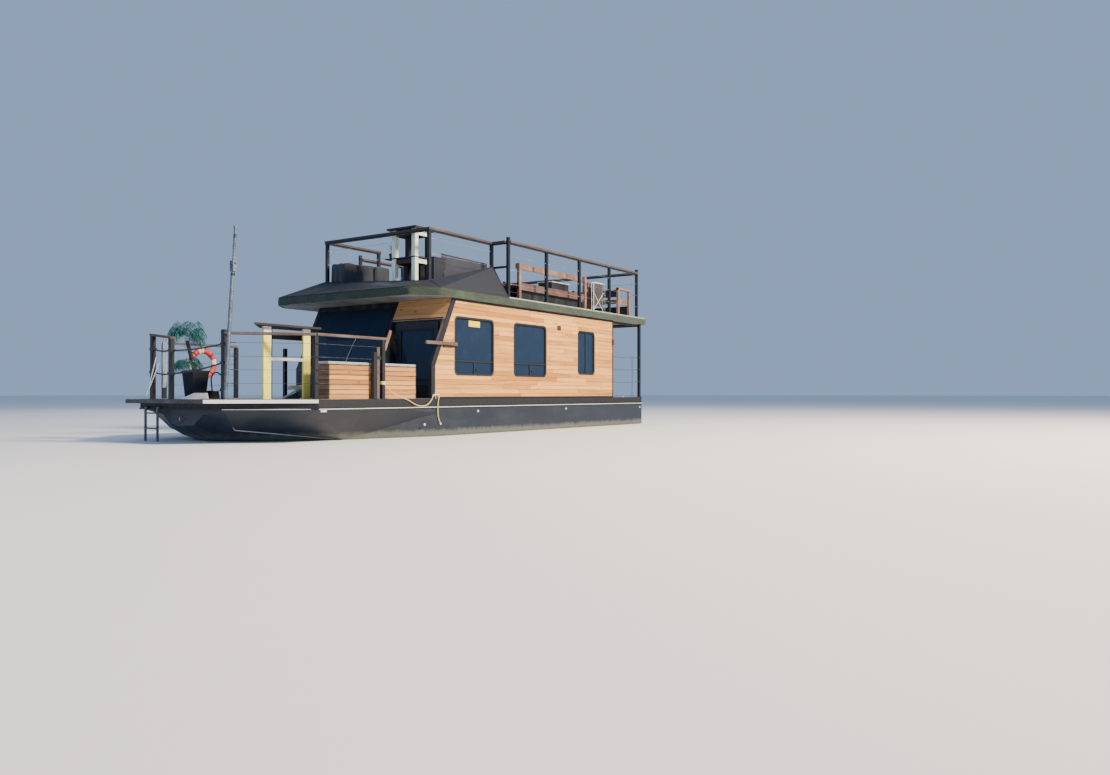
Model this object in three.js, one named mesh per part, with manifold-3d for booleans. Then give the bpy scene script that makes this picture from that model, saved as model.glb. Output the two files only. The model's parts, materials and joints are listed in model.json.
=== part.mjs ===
// Flybridge houseboat afloat. Millimetres: x forward, the transom at STERN_X, y to port, z up from the waterline.
import * as THREE from 'three';
import Module from 'manifold-3d';
import { mergeVertices } from 'three/addons/utils/BufferGeometryUtils.js';
import { ConvexGeometry } from 'three/addons/geometries/ConvexGeometry.js';

const wasm = await Module();
wasm.setup();

// Driving sizes
const GAP = 0.3;
const HALF_BEAM = 2050;
const STERN_X = -200;
const SHEER_Z = 500;
const DECK_Z = 660;
const PLANK_Z = 600;
const BOW_X = 11370;
const BOW_BEAM_X = 11100;
const BOW_HALF = 1000;
const SHOULDER_X = 10150;

const WALL = 60;
const SIDE_Y = 2010;
const CABIN_AFT_X = 1200;
const CABIN_FRONT_X = 7600;
const RAKE_START_Z = 1250;
const RAKE = 0.47;
const ROOF_UNDER_Z = 2480;
const ROOF_Z = 2610;
const ROOF_AFT_X = -350;
const ROOF_FRONT_X = 7850;
const ROOF_HALF = 2080;
const CHAMFER_X = 450;
const CHAMFER_Y = 500;

const POST = 65;
const RAIL_Y = 2010;
const FORE_RAIL_Z = 1660;
const FLY_RAIL_Z = 3730;
const FLY_RAIL_Y = 2040;
const LEAN_Y = 1650;
const LEAN_STARBOARD_Y = -1010;
const FLY_FRONT_X = 7250;
const FLY_STEP_X = 5410;
const FLY_STARBOARD_END_X = 5850;

const HINGE_R = 10;
const HINGE_LENGTH = 60;

// Finishes: name, colour, roughness, metalness
const finishes = {};
for (const [name, color, roughness, metalness] of [
  ['hullPaint', 0x2b2f33, 0.55, 0.1],
  ['deckPaint', 0x33383d, 0.7, 0.0],
  ['blackPaint', 0x16191d, 0.45, 0.3],
  ['plank', 0xc98a4f, 0.65, 0.0],
  ['weatheredWood', 0x8a6a55, 0.8, 0.0],
  ['yellowPaint', 0xe3cf4f, 0.6, 0.0],
  ['mintPaint', 0xcfe6cf, 0.6, 0.0],
  ['glass', 0x10161c, 0.1, 0.0],
  ['roofGreen', 0x2e4436, 0.8, 0.0],
  ['charcoal', 0x2c333c, 0.7, 0.0],
  ['navyFabric', 0x1f2a44, 0.9, 0.0],
  ['darkFabric', 0x2b3038, 0.9, 0.0],
  ['steel', 0x8d949b, 0.35, 0.8],
  ['bronze', 0xa8803f, 0.35, 0.8],
  ['engineGrey', 0x5a6068, 0.5, 0.5],
  ['lifeRed', 0xd23a3a, 0.6, 0.0],
  ['palmGreen', 0x2f6b4f, 0.8, 0.0],
  ['paleCover', 0xc9ccc8, 0.7, 0.0],
  ['yellowRope', 0xd8b83c, 0.9, 0.0],
]) {
  finishes[name] = new THREE.MeshStandardMaterial({ name, color, roughness, metalness });
}

const boat = new THREE.Group();

// Turns a closed three.js geometry into a solid that can be joined and cut
function solid(geometry) {
  const bare = geometry.index ? geometry.clone() : geometry;
  bare.deleteAttribute('uv');
  bare.deleteAttribute('normal');
  const merged = mergeVertices(bare, 1e-3);
  return new wasm.Manifold(new wasm.Mesh({
    numProp: 3,
    vertProperties: new Float32Array(merged.attributes.position.array),
    triVerts: new Uint32Array(merged.index.array),
  }));
}

function joined(parts) {
  return parts.reduce((whole, part) => whole.add(part));
}

function add(name, shape, finish) {
  const mesh = shape.getMesh();
  const geometry = new THREE.BufferGeometry();
  geometry.setAttribute('position', new THREE.BufferAttribute(new Float32Array(mesh.vertProperties), 3));
  geometry.setIndex(new THREE.BufferAttribute(new Uint32Array(mesh.triVerts), 1));
  const piece = new THREE.Mesh(geometry, finishes[finish]);
  piece.name = name;
  boat.add(piece);
}

function box(x0, x1, y0, y1, z0, z1) {
  const geometry = new THREE.BoxGeometry(x1 - x0, y1 - y0, z1 - z0);
  geometry.translate((x0 + x1) / 2, (y0 + y1) / 2, (z0 + z1) / 2);
  return solid(geometry);
}

function post(x, y, z0, z1, size = POST) {
  return box(x - size / 2, x + size / 2, y - size / 2, y + size / 2, z0, z1);
}

// A straight square bar between two points, its width level and its height upright
function bar(from, to, width, height) {
  const start = new THREE.Vector3(...from);
  const run = new THREE.Vector3(...to).sub(start);
  const geometry = new THREE.BoxGeometry(run.length(), width, height);
  geometry.translate(run.length() / 2, 0, 0);
  const side = new THREE.Vector3(0, 0, 1).cross(run).normalize();
  const up = run.clone().cross(side).normalize();
  const turn = new THREE.Matrix4().makeBasis(run.clone().normalize(), side, up);
  geometry.applyMatrix4(turn.setPosition(start));
  return solid(geometry);
}

function rod(from, to, radius, sides = 10) {
  const start = new THREE.Vector3(...from);
  const run = new THREE.Vector3(...to).sub(start);
  const geometry = new THREE.CylinderGeometry(radius, radius, run.length(), sides);
  geometry.translate(0, run.length() / 2, 0);
  const turn = new THREE.Quaternion().setFromUnitVectors(new THREE.Vector3(0, 1, 0), run.normalize());
  geometry.applyMatrix4(new THREE.Matrix4().compose(start, turn, new THREE.Vector3(1, 1, 1)));
  return solid(geometry);
}

function slab(outline, z0, z1) {
  const shape = new THREE.Shape(outline.map(([x, y]) => new THREE.Vector2(x, y)));
  const geometry = new THREE.ExtrudeGeometry(shape, { depth: z1 - z0, bevelEnabled: false });
  geometry.translate(0, 0, z0);
  return solid(geometry);
}

// A profile of x and z points carried across from one y to another
function profile(outline, y0, y1) {
  const shape = new THREE.Shape(outline.map(([x, z]) => new THREE.Vector2(x, z)));
  const geometry = new THREE.ExtrudeGeometry(shape, { depth: y1 - y0, bevelEnabled: false });
  geometry.rotateX(Math.PI / 2);
  geometry.translate(0, y1, 0);
  return solid(geometry);
}

function convex(points) {
  return solid(new ConvexGeometry(points.map((point) => new THREE.Vector3(...point))));
}

// Skins a list of like rings of points, each closed, and caps both ends
function loft(rings) {
  const count = rings[0].length;
  const position = rings.flat(2);
  const index = [];
  for (let ring = 0; ring + 1 < rings.length; ring += 1) {
    for (let side = 0; side < count; side += 1) {
      const a = ring * count + side;
      const b = ring * count + (side + 1) % count;
      index.push(a, b, b + count, a, b + count, a + count);
    }
  }
  const last = (rings.length - 1) * count;
  for (let side = 1; side + 1 < count; side += 1) {
    index.push(0, side + 1, side);
    index.push(last, last + side, last + side + 1);
  }
  const geometry = new THREE.BufferGeometry();
  geometry.setAttribute('position', new THREE.Float32BufferAttribute(position, 3));
  geometry.setIndex(index);
  return solid(geometry);
}

function mirrored(outline) {
  return [...outline, ...outline.slice().reverse().map(([x, y]) => [x, -y])];
}

// Front wall x at a height: upright below, raked back above
function wallX(z) {
  return CABIN_FRONT_X - Math.max(0, z - RAKE_START_Z) * RAKE;
}

// A knuckle pair on one axis: the fixed one on its block, then the moving one on its block
function hingePair(centre, axis, fixedBlock, movingBlock) {
  const at = new THREE.Vector3(...centre);
  const along = new THREE.Vector3(...axis);
  const end = (distance) => at.clone().addScaledVector(along, distance).toArray();
  return {
    fixed: joined([rod(end(-HINGE_LENGTH), end(-GAP / 2), HINGE_R), box(...fixedBlock)]),
    moving: joined([rod(end(GAP / 2), end(HINGE_LENGTH), HINGE_R), box(...movingBlock)]),
  };
}

// Hull: columns are x, keel z, chine half and z, knuckle half and z, sheer half
const hullStations = [
  [STERN_X, -380, 2050, -250, 2050, 380, 2050],
  [7500, -420, 2050, -200, 2050, 410, 2050],
  [8400, -420, 1760, -120, 1800, 190, 2050],
  [9200, -380, 1480, -90, 1570, 0, 2050],
  [10150, -220, 950, -20, 1150, 120, 2050],
  [10700, 20, 500, 90, 820, 190, 1450],
  [11050, 250, 300, 270, 530, 432, 1040],
];
const hullRings = hullStations.map(([x, keelZ, chineY, chineZ, knuckleY, knuckleZ, sheerY]) => [
  [x, 0, keelZ],
  [x, chineY, chineZ],
  [x, knuckleY, knuckleZ],
  [x, sheerY, SHEER_Z],
  [x, -sheerY, SHEER_Z],
  [x, -knuckleY, knuckleZ],
  [x, -chineY, chineZ],
]);
const ENGINE_BAY = [180, 1000, -430, 430, -60];
const [bayAft, bayFront, bayStarboard, bayPort, bayFloor] = ENGINE_BAY;
const bay = box(bayAft, bayFront, bayStarboard, bayPort, bayFloor, SHEER_Z + 10);
add('hull', loft(hullRings).subtract(bay), 'hullPaint');
const ENGINE_SIDE = 40;
add('engine_block', box(
  bayAft + ENGINE_SIDE, bayFront - ENGINE_SIDE, bayStarboard + 130, bayPort - 130,
  bayFloor + GAP, SHEER_Z - 20,
), 'engineGrey');

// Deck: the full plank layer over a lower band that stops at the bow beam
const HATCH = [146, 1054, -464, 464];
const [hatchAft, hatchFront, hatchStarboard, hatchPort] = HATCH;
const CLEAR = 7;
const deckPlan = mirrored([[STERN_X, HALF_BEAM], [SHOULDER_X, HALF_BEAM], [BOW_X, BOW_HALF]]);
const bandPlan = mirrored([[STERN_X, HALF_BEAM], [SHOULDER_X, HALF_BEAM], [BOW_BEAM_X, 1040]]);
const RUB = 18;
const rubPlan = mirrored([
  [STERN_X, HALF_BEAM + RUB], [SHOULDER_X + 8, HALF_BEAM + RUB], [BOW_BEAM_X + 10, 1050],
]);
const hatchWell = box(
  hatchAft - CLEAR, hatchFront + CLEAR, hatchStarboard - CLEAR, hatchPort + CLEAR, SHEER_Z - 10, DECK_Z + 10,
);
const deck = [
  slab(deckPlan, PLANK_Z - 1, DECK_Z),
  slab(bandPlan, SHEER_Z + GAP, PLANK_Z),
  slab(rubPlan, SHEER_Z + GAP, SHEER_Z + 26),
];
const hatchHinge = [hatchAft - CLEAR - 12, DECK_Z + HINGE_R];
const hatchKnuckles = [-300, 300].map((y) => hingePair(
  [hatchHinge[0], y, hatchHinge[1]], [0, 1, 0],
  [hatchHinge[0] - 40, hatchHinge[0], y - HINGE_LENGTH, y - GAP / 2, DECK_Z - 5, DECK_Z + 8],
  [hatchHinge[0], hatchAft + 60, y + GAP / 2, y + HINGE_LENGTH, DECK_Z + 1, DECK_Z + 8],
));
// Boarding ladder hung from knuckles on the bow beam, folding up forward
const BOARD = { x: 11150, z: 530, y: [-826, -500], foot: -320 };
const boardKnuckles = BOARD.y.map((y) => hingePair(
  [BOARD.x, y, BOARD.z], [0, 1, 0],
  [BOW_BEAM_X - 5, BOARD.x, y - HINGE_LENGTH, y - GAP / 2, BOARD.z - 8, BOARD.z + 8],
  [BOARD.x - 8, BOARD.x + 8, y + GAP / 2, y + 30, BOARD.z - 60, BOARD.z],
));
add('deck', joined([
  joined(deck).subtract(hatchWell),
  ...hatchKnuckles.map(({ fixed }) => fixed),
  ...boardKnuckles.map(({ fixed }) => fixed),
]), 'deckPaint');
add('engine_hatch', joined([
  box(hatchAft, hatchFront, hatchStarboard, hatchPort, DECK_Z - 40, DECK_Z + 2),
  ...hatchKnuckles.map(({ moving }) => moving),
]), 'deckPaint');

// Stern gear
const PLATFORM_X = STERN_X - 600;
const PLATFORM_FRONT_X = STERN_X - GAP;
const PLATFORM_Z = 230;
const platform = [box(PLATFORM_X, PLATFORM_FRONT_X, -1400, 1400, PLATFORM_Z - 50, PLATFORM_Z)];
for (const y of [-1100, 1100]) {
  platform.push(convex([
    [PLATFORM_FRONT_X, y - 20, PLATFORM_Z - 49], [PLATFORM_FRONT_X, y + 20, PLATFORM_Z - 49],
    [PLATFORM_X + 100, y - 20, PLATFORM_Z - 49], [PLATFORM_X + 100, y + 20, PLATFORM_Z - 49],
    [PLATFORM_FRONT_X, y - 20, -130], [PLATFORM_FRONT_X, y + 20, -130],
  ]));
}
add('swim_platform', joined(platform), 'weatheredWood');

const STEER_X = STERN_X - 190;
const SHAFT_Z = -520;
add('drive_housing', joined([
  box(STERN_X - 60, STERN_X - GAP, -190, 190, -230, 120),
  box(STEER_X - 60, STERN_X - 50, -55, 55, 60, 110),
  box(STEER_X - 60, STERN_X - 50, -55, 55, -190, -140),
]), 'blackPaint');
const legOutline = [
  [STEER_X + 45, -140 + GAP], [STEER_X + 45, 60 - GAP], [STEER_X - 150, 60 - GAP], [STEER_X - 230, -60],
  [STEER_X - 180, -260], [STEER_X - 180, SHAFT_Z + 20], [STEER_X - 150, SHAFT_Z - 190],
  [STEER_X - 60, SHAFT_Z - 190], [STEER_X + 40, SHAFT_Z - 20], [STEER_X - 20, -200],
  [STEER_X - 92, -197], [STEER_X - 92, -140 + GAP],
];
add('drive_leg', joined([
  profile(legOutline, -32, 32),
  box(STEER_X - 260, STEER_X - 60, -130, 130, -270, -258),
  rod([STEER_X + 90, 0, SHAFT_Z], [STEER_X - 200, 0, SHAFT_Z], 55, 16),
]), 'blackPaint');
const hubStart = STEER_X - 200 - GAP;
const propeller = [rod([hubStart, 0, SHAFT_Z], [hubStart - 130, 0, SHAFT_Z], 45, 16)];
for (let blade = 0; blade < 3; blade += 1) {
  const shape = new THREE.Shape();
  shape.moveTo(-32, 20);
  shape.bezierCurveTo(-110, 90, -70, 185, 10, 185);
  shape.bezierCurveTo(85, 185, 95, 90, 32, 20);
  const geometry = new THREE.ExtrudeGeometry(shape, { depth: 8, bevelEnabled: false, curveSegments: 5 });
  geometry.translate(0, 0, -4);
  geometry.rotateY(THREE.MathUtils.degToRad(38));
  geometry.rotateX(Math.PI / 2);
  geometry.rotateZ(Math.PI / 2);
  geometry.rotateX(blade * 2 * Math.PI / 3);
  geometry.translate(hubStart - 68, 0, SHAFT_Z);
  propeller.push(solid(geometry));
}
add('propeller', joined(propeller), 'bronze');

// Cabin walls, with rounded window openings. Columns: x from, x to, z from, z to
const windows = [
  ['1', 5810, 6980, 1080, 2155],
  ['2', 4006, 5170, 1085, 2155],
  ['3', 2035, 2770, 1168, 2145],
];
const STARBOARD_WINDOW_SHIFT = -430;
const WINDOW_RADIUS = 90;
const FRAME = 45;

function roundedBlock(x0, x1, z0, z1, radius, y0, y1) {
  const shape = new THREE.Shape();
  shape.moveTo(x0 + radius, z0);
  shape.lineTo(x1 - radius, z0);
  shape.absarc(x1 - radius, z0 + radius, radius, -Math.PI / 2, 0);
  shape.absarc(x1 - radius, z1 - radius, radius, 0, Math.PI / 2);
  shape.absarc(x0 + radius, z1 - radius, radius, Math.PI / 2, Math.PI);
  shape.absarc(x0 + radius, z0 + radius, radius, Math.PI, 1.5 * Math.PI);
  const geometry = new THREE.ExtrudeGeometry(shape, { depth: y1 - y0, bevelEnabled: false, curveSegments: 3 });
  geometry.rotateX(Math.PI / 2);
  geometry.translate(0, y1, 0);
  return solid(geometry);
}

const WALL_FOOT_Z = DECK_Z + GAP;
const WALL_TOP_Z = ROOF_UNDER_Z - GAP;
const topSetback = (WALL_TOP_Z - RAKE_START_Z) * RAKE;
for (const [side, sign, frontX] of [
  ['port', 1, CABIN_FRONT_X],
  ['starboard', -1, CABIN_FRONT_X - CHAMFER_X - GAP],
]) {
  const outer = sign * SIDE_Y;
  const inner = sign * (SIDE_Y - WALL);
  const [y0, y1] = [Math.min(outer, inner), Math.max(outer, inner)];
  let wall = profile([
    [CABIN_AFT_X, WALL_FOOT_Z], [frontX, WALL_FOOT_Z], [frontX, RAKE_START_Z],
    [frontX - topSetback, WALL_TOP_Z], [CABIN_AFT_X, WALL_TOP_Z],
  ], y0, y1);
  for (const [number, portX0, portX1, z0, z1] of windows) {
    const shift = number === '1' && side === 'starboard' ? STARBOARD_WINDOW_SHIFT : 0;
    const [x0, x1] = [portX0 + shift, portX1 + shift];
    wall = wall.subtract(roundedBlock(x0, x1, z0, z1, WINDOW_RADIUS, y0 - 1, y1 + 1));
    const paneY = [outer - sign * 40, outer - sign * 25].sort((a, b) => a - b);
    const frameY = [outer - sign * 45, outer + sign * 12].sort((a, b) => a - b);
    const frame = roundedBlock(x0 + GAP, x1 - GAP, z0 + GAP, z1 - GAP, WINDOW_RADIUS - GAP, ...frameY)
      .subtract(roundedBlock(x0 + FRAME, x1 - FRAME, z0 + FRAME, z1 - FRAME, WINDOW_RADIUS - FRAME / 2,
        frameY[0] - 1, frameY[1] + 1));
    const inset = FRAME / 2;
    const pane = roundedBlock(x0 + inset, x1 - inset, z0 + inset, z1 - inset, WINDOW_RADIUS - inset, ...paneY);
    add(`window_${side}_${number}`, frame.add(pane), 'glass');
  }
  add(`cabin_side_${side}`, wall, 'plank');
}

// Front wall: a flat bay, the chamfered starboard corner, and the recessed door bay to port
const CHEEK_Y = 700;
const RECESS_X = 7095;
const recessMeetZ = RAKE_START_Z + (CABIN_FRONT_X - WALL - RECESS_X) / RAKE;
const CHAMFER_START_Y = -1500;
const chamferThickness = WALL * Math.hypot(1, CHAMFER_Y / CHAMFER_X);
const INSIDE_Y = SIDE_Y - WALL - GAP;

// A wall panel between two plan points, following the bent front profile
function frontPanel(outerA, outerB, innerB, innerA) {
  const layers = [WALL_FOOT_Z, RAKE_START_Z, WALL_TOP_Z];
  const panels = [];
  for (let layer = 0; layer < 2; layer += 1) {
    const points = [];
    for (const z of [layers[layer], layers[layer + 1]]) {
      const shift = wallX(z) - CABIN_FRONT_X;
      for (const [x, y] of [outerA, outerB, innerB, innerA]) {
        points.push([x + shift, y, z]);
      }
    }
    panels.push(convex(points));
  }
  return joined(panels);
}

const innerX = CABIN_FRONT_X - WALL;
const chamferEndX = CABIN_FRONT_X - CHAMFER_X;
const innerTurn = CHAMFER_START_Y + chamferThickness - WALL * CHAMFER_Y / CHAMFER_X;
const flatBay = frontPanel(
  [CABIN_FRONT_X, CHEEK_Y], [CABIN_FRONT_X, CHAMFER_START_Y], [innerX, innerTurn], [innerX, CHEEK_Y],
);
const chamferBay = frontPanel(
  [CABIN_FRONT_X, CHAMFER_START_Y], [chamferEndX, CHAMFER_START_Y - CHAMFER_Y - 10],
  [chamferEndX, CHAMFER_START_Y - CHAMFER_Y + chamferThickness], [innerX, innerTurn],
);
const SCREEN = { y0: -1400, y1: 640, z0: 1290, z1: 2370 };
function screenBlock(y0, y1, z0, z1, depthOut, depthIn) {
  return convex([y0, y1].flatMap((y) => [z0, z1].flatMap((z) => [
    [wallX(z) + depthOut, y, z], [wallX(z) - depthIn, y, z],
  ])));
}
const screenHole = screenBlock(SCREEN.y0, SCREEN.y1, SCREEN.z0, SCREEN.z1, 80, 140);
const DOOR = { y0: 800, y1: 1810, z0: 700, z1: 2040 };
const HEADER_Z = 2080;
const recessWall = box(RECESS_X, RECESS_X + WALL, CHEEK_Y + 10, INSIDE_Y, WALL_FOOT_Z, HEADER_Z + 5)
  .subtract(box(RECESS_X - 5, RECESS_X + WALL + 5, DOOR.y0, DOOR.y1, DOOR.z0, DOOR.z1));
const header = screenBlock(CHEEK_Y, INSIDE_Y, HEADER_Z, WALL_TOP_Z, 0, WALL);
const headerShelf = box(RECESS_X, wallX(HEADER_Z), CHEEK_Y, INSIDE_Y, HEADER_Z, HEADER_Z + 40);
const cheek = profile([
  [RECESS_X, WALL_FOOT_Z], [CABIN_FRONT_X, WALL_FOOT_Z], [CABIN_FRONT_X, RAKE_START_Z],
  [wallX(WALL_TOP_Z), WALL_TOP_Z], [wallX(WALL_TOP_Z) - WALL, WALL_TOP_Z], [RECESS_X, recessMeetZ],
], CHEEK_Y - 40, CHEEK_Y + 20);
const doorAxis = [RECESS_X + WALL + CLEAR + 40 + 12, DOOR.y0 - 24];
const doorKnuckles = [900, 1700].map((z) => hingePair(
  [...doorAxis, z], [0, 0, 1],
  [RECESS_X + WALL - 5, doorAxis[0], doorAxis[1] - 8, doorAxis[1], z - HINGE_LENGTH, z - GAP / 2],
  [doorAxis[0] - 14, doorAxis[0], doorAxis[1], doorAxis[1] + 40, z + GAP / 2, z + HINGE_LENGTH],
));
add('cabin_front', joined([
  flatBay, chamferBay, recessWall, header, headerShelf, cheek,
]).subtract(screenHole).add(joined(doorKnuckles.map(({ fixed }) => fixed))), 'plank');
const doorX = RECESS_X + WALL + CLEAR;
const frontDoor = joined([
  box(doorX, doorX + 40, DOOR.y0 - 12, DOOR.y1 + 15, DOOR.z0 + 5, DOOR.z1 + 10),
  box(doorX + 35, doorX + 70, DOOR.y1 - 70, DOOR.y1 - 50, 1350, 1550),
  ...doorKnuckles.map(({ moving }) => moving),
]).subtract(box(doorX - 5, doorX + 45, DOOR.y0 + 110, DOOR.y1 - 110, 1000, 1920))
  .add(box(doorX + 14, doorX + 22, DOOR.y0 + 109, DOOR.y1 - 109, 999, 1921));
add('door_front', frontDoor, 'glass');
const MULLION_Y = -420;
const screen = screenBlock(SCREEN.y0 + GAP, SCREEN.y1 - GAP, SCREEN.z0 + GAP, SCREEN.z1 - GAP, 12, 45)
  .subtract(screenBlock(SCREEN.y0 + 50, MULLION_Y - 25, SCREEN.z0 + 50, SCREEN.z1 - 50, 40, 120))
  .subtract(screenBlock(MULLION_Y + 25, SCREEN.y1 - 50, SCREEN.z0 + 50, SCREEN.z1 - 50, 40, 120))
  .add(screenBlock(SCREEN.y0 + 20, SCREEN.y1 - 20, SCREEN.z0 + 20, SCREEN.z1 - 20, -16, 28));
add('windshield', screen, 'glass');

// Rear wall and its door, which swings out over the aft deck
const REAR_DOOR = { y0: -360, y1: 360, z0: 700, z1: 2100 };
const rearX = CABIN_AFT_X + GAP;
const rearAxis = [CABIN_AFT_X - CLEAR - 40 - 12, REAR_DOOR.y1 + 24];
const rearKnuckles = [900, 1900].map((z) => hingePair(
  [...rearAxis, z], [0, 0, 1],
  [rearAxis[0], rearX + 5, rearAxis[1], rearAxis[1] + 8, z - HINGE_LENGTH, z - GAP / 2],
  [rearAxis[0], rearAxis[0] + 14, rearAxis[1] - 40, rearAxis[1], z + GAP / 2, z + HINGE_LENGTH],
));
add('cabin_rear', box(rearX, rearX + WALL, -INSIDE_Y, INSIDE_Y, WALL_FOOT_Z, WALL_TOP_Z)
  .subtract(box(rearX - 5, rearX + WALL + 5, REAR_DOOR.y0, REAR_DOOR.y1, REAR_DOOR.z0, REAR_DOOR.z1))
  .add(joined(rearKnuckles.map(({ fixed }) => fixed))), 'plank');
const rearDoorX = CABIN_AFT_X - CLEAR - 40;
add('door_aft', joined([
  box(rearDoorX, rearDoorX + 40, REAR_DOOR.y0 - 15, REAR_DOOR.y1 + 12, REAR_DOOR.z0 + 5, REAR_DOOR.z1 + 10),
  box(rearDoorX - 35, rearDoorX + 5, REAR_DOOR.y0 + 30, REAR_DOOR.y0 + 50, 1350, 1500),
  ...rearKnuckles.map(({ moving }) => moving),
]).subtract(box(rearDoorX - 5, rearDoorX + 45, -240, 240, 1300, 1950))
  .add(box(rearDoorX + 14, rearDoorX + 22, -241, 241, 1299, 1951)), 'blackPaint');

// Roof with the ladder opening
const LADDER = {
  y0: -1650, y1: -1130, footX: 983, footZ: DECK_Z - 60, headX: 230, headZ: 3000, width: 70,
};
const ladderRun = (LADDER.headX - LADDER.footX) / (LADDER.headZ - LADDER.footZ);
const ladderX = (z) => LADDER.footX + (z - LADDER.footZ) * ladderRun;
const HATCHWAY_FRONT_X = 1040;
const LADDER_REST = 2;
const hatchwayAft = ladderX(ROOF_Z) - LADDER.width / 2 - LADDER_REST;
const roofPlan = [
  [ROOF_AFT_X, -ROOF_HALF], [ROOF_FRONT_X - 400, -ROOF_HALF], [ROOF_FRONT_X, -1720],
  [ROOF_FRONT_X, 1720], [ROOF_FRONT_X - 400, ROOF_HALF], [ROOF_AFT_X, ROOF_HALF],
];
add('roof', slab(roofPlan, ROOF_UNDER_Z, ROOF_Z)
  .subtract(box(
    hatchwayAft, HATCHWAY_FRONT_X, LADDER.y0 - 60, LADDER.y1 + 60, ROOF_UNDER_Z - 10, ROOF_Z + 10,
  )), 'roofGreen');

// Visor and coaming round the front of the fly deck
const FLOOR_Z = ROOF_Z + GAP;
const SKIRT_AFT_X = FLY_STEP_X + 5;
const coamingX = FLY_FRONT_X + 30.5;
const coamingY = LEAN_Y + 30.5;
const coamingStarboardY = LEAN_STARBOARD_Y - 30.5;
const visor = convex([
  [ROOF_FRONT_X, 1720, FLOOR_Z], [ROOF_FRONT_X, -1720, FLOOR_Z],
  [coamingX + 20, coamingY, 2780], [coamingX, coamingY, 2780],
  [coamingX + 20, coamingStarboardY, 2930], [coamingX, coamingStarboardY, 2930],
  [coamingX, coamingY, FLOOR_Z], [coamingX, coamingStarboardY, FLOOR_Z],
]);
const portSkirt = convex([
  [ROOF_FRONT_X, 1720, FLOOR_Z], [ROOF_FRONT_X - 400, ROOF_HALF, FLOOR_Z], [SKIRT_AFT_X, ROOF_HALF, FLOOR_Z],
  [coamingX + 20, coamingY + 20, 2780], [coamingX, coamingY, 2780],
  [SKIRT_AFT_X, coamingY, 3250], [SKIRT_AFT_X, coamingY + 20, 3250],
  [SKIRT_AFT_X, coamingY, FLOOR_Z], [coamingX, coamingY, FLOOR_Z],
]);
const starboardSkirt = convex([
  [ROOF_FRONT_X, -1720, FLOOR_Z], [ROOF_FRONT_X - 400, -ROOF_HALF, FLOOR_Z],
  [FLY_STARBOARD_END_X, -ROOF_HALF, FLOOR_Z], [FLY_STARBOARD_END_X, coamingStarboardY, FLOOR_Z],
  [coamingX + 20, coamingStarboardY, 2930], [FLY_STARBOARD_END_X, coamingStarboardY, 2930],
  [FLY_STARBOARD_END_X, coamingStarboardY - 20, 2930], [coamingX, coamingStarboardY, FLOOR_Z],
]);
add('visor_coaming', joined([visor, portSkirt, starboardSkirt]), 'charcoal');

// Fly deck rails
const flyFront = [
  [FLY_FRONT_X, LEAN_Y], [FLY_FRONT_X, LEAN_STARBOARD_Y], [FLY_STARBOARD_END_X, LEAN_STARBOARD_Y],
  [FLY_STEP_X, LEAN_Y],
].map(([x, y]) => post(x, y, FLOOR_Z, FLY_RAIL_Z, 60));
const RAIL_W = 80;
const RAIL_H = 40;
const railAt = (x, y) => [x, y, FLY_RAIL_Z];
add('fly_rail_front', joined([
  ...flyFront,
  bar(railAt(FLY_FRONT_X, LEAN_Y + 40), railAt(FLY_FRONT_X, LEAN_STARBOARD_Y - 40), RAIL_W, RAIL_H),
  bar(railAt(FLY_FRONT_X + 40, LEAN_Y), railAt(FLY_STEP_X - 30, LEAN_Y), RAIL_W, RAIL_H),
  bar(railAt(FLY_FRONT_X, LEAN_STARBOARD_Y), railAt(FLY_STARBOARD_END_X - 40, LEAN_STARBOARD_Y), RAIL_W, RAIL_H),
  bar(railAt(FLY_STEP_X - 10, LEAN_Y), railAt(FLY_STEP_X - 10, FLY_RAIL_Y - RAIL_W / 2 - GAP), RAIL_W, RAIL_H),
]), 'blackPaint');
const flyPosts = [5380, 4040, 2740, 1410, 50];
const aftRail = [];
for (const sign of [1, -1]) {
  for (const x of flyPosts) {
    const top = x === flyPosts[0] || x === flyPosts.at(-1) ? FLY_RAIL_Z + 85 : FLY_RAIL_Z;
    aftRail.push(post(x, sign * FLY_RAIL_Y, FLOOR_Z, top, 60));
  }
  aftRail.push(bar(railAt(FLY_STEP_X + 40, sign * FLY_RAIL_Y), railAt(20, sign * FLY_RAIL_Y), RAIL_W, RAIL_H));
}
aftRail.push(bar(railAt(50, FLY_RAIL_Y), railAt(50, -FLY_RAIL_Y), RAIL_W, RAIL_H));
add('fly_rail_aft', joined(aftRail), 'blackPaint');

// Fly deck furniture
const FLY_BAR = { x: [6720, 7080], y: [650, 1150], top: 3840 };
const flyBar = [];
for (const x of FLY_BAR.x) {
  for (const y of FLY_BAR.y) {
    flyBar.push(post(x, y, FLOOR_Z, FLY_BAR.top - 30, 90));
  }
}
for (const z of [3180, 3700]) {
  for (const y of FLY_BAR.y) {
    flyBar.push(box(FLY_BAR.x[0], FLY_BAR.x[1], y - 20, y + 20, z, z + 90));
  }
  for (const x of FLY_BAR.x) {
    flyBar.push(box(x - 20, x + 20, FLY_BAR.y[0], FLY_BAR.y[1], z, z + 90));
  }
}
add('fly_bar_frame', joined(flyBar), 'mintPaint');
add('fly_bar_top', box(6560, 7180, 520, 1260, FLY_BAR.top - 30 + GAP, FLY_BAR.top + 10), 'blackPaint');
add('console', convex([
  [6020, -910, FLOOR_Z], [7150, -910, FLOOR_Z], [7150, -480, FLOOR_Z], [6020, -480, FLOOR_Z],
  [6060, -890, 3340], [7100, -890, 3305], [6060, -500, 3340], [7100, -500, 3305],
]), 'darkFabric');
add('storage_box', box(6150, 6560, 350, 820, FLOOR_Z, 3400), 'blackPaint');
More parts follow.
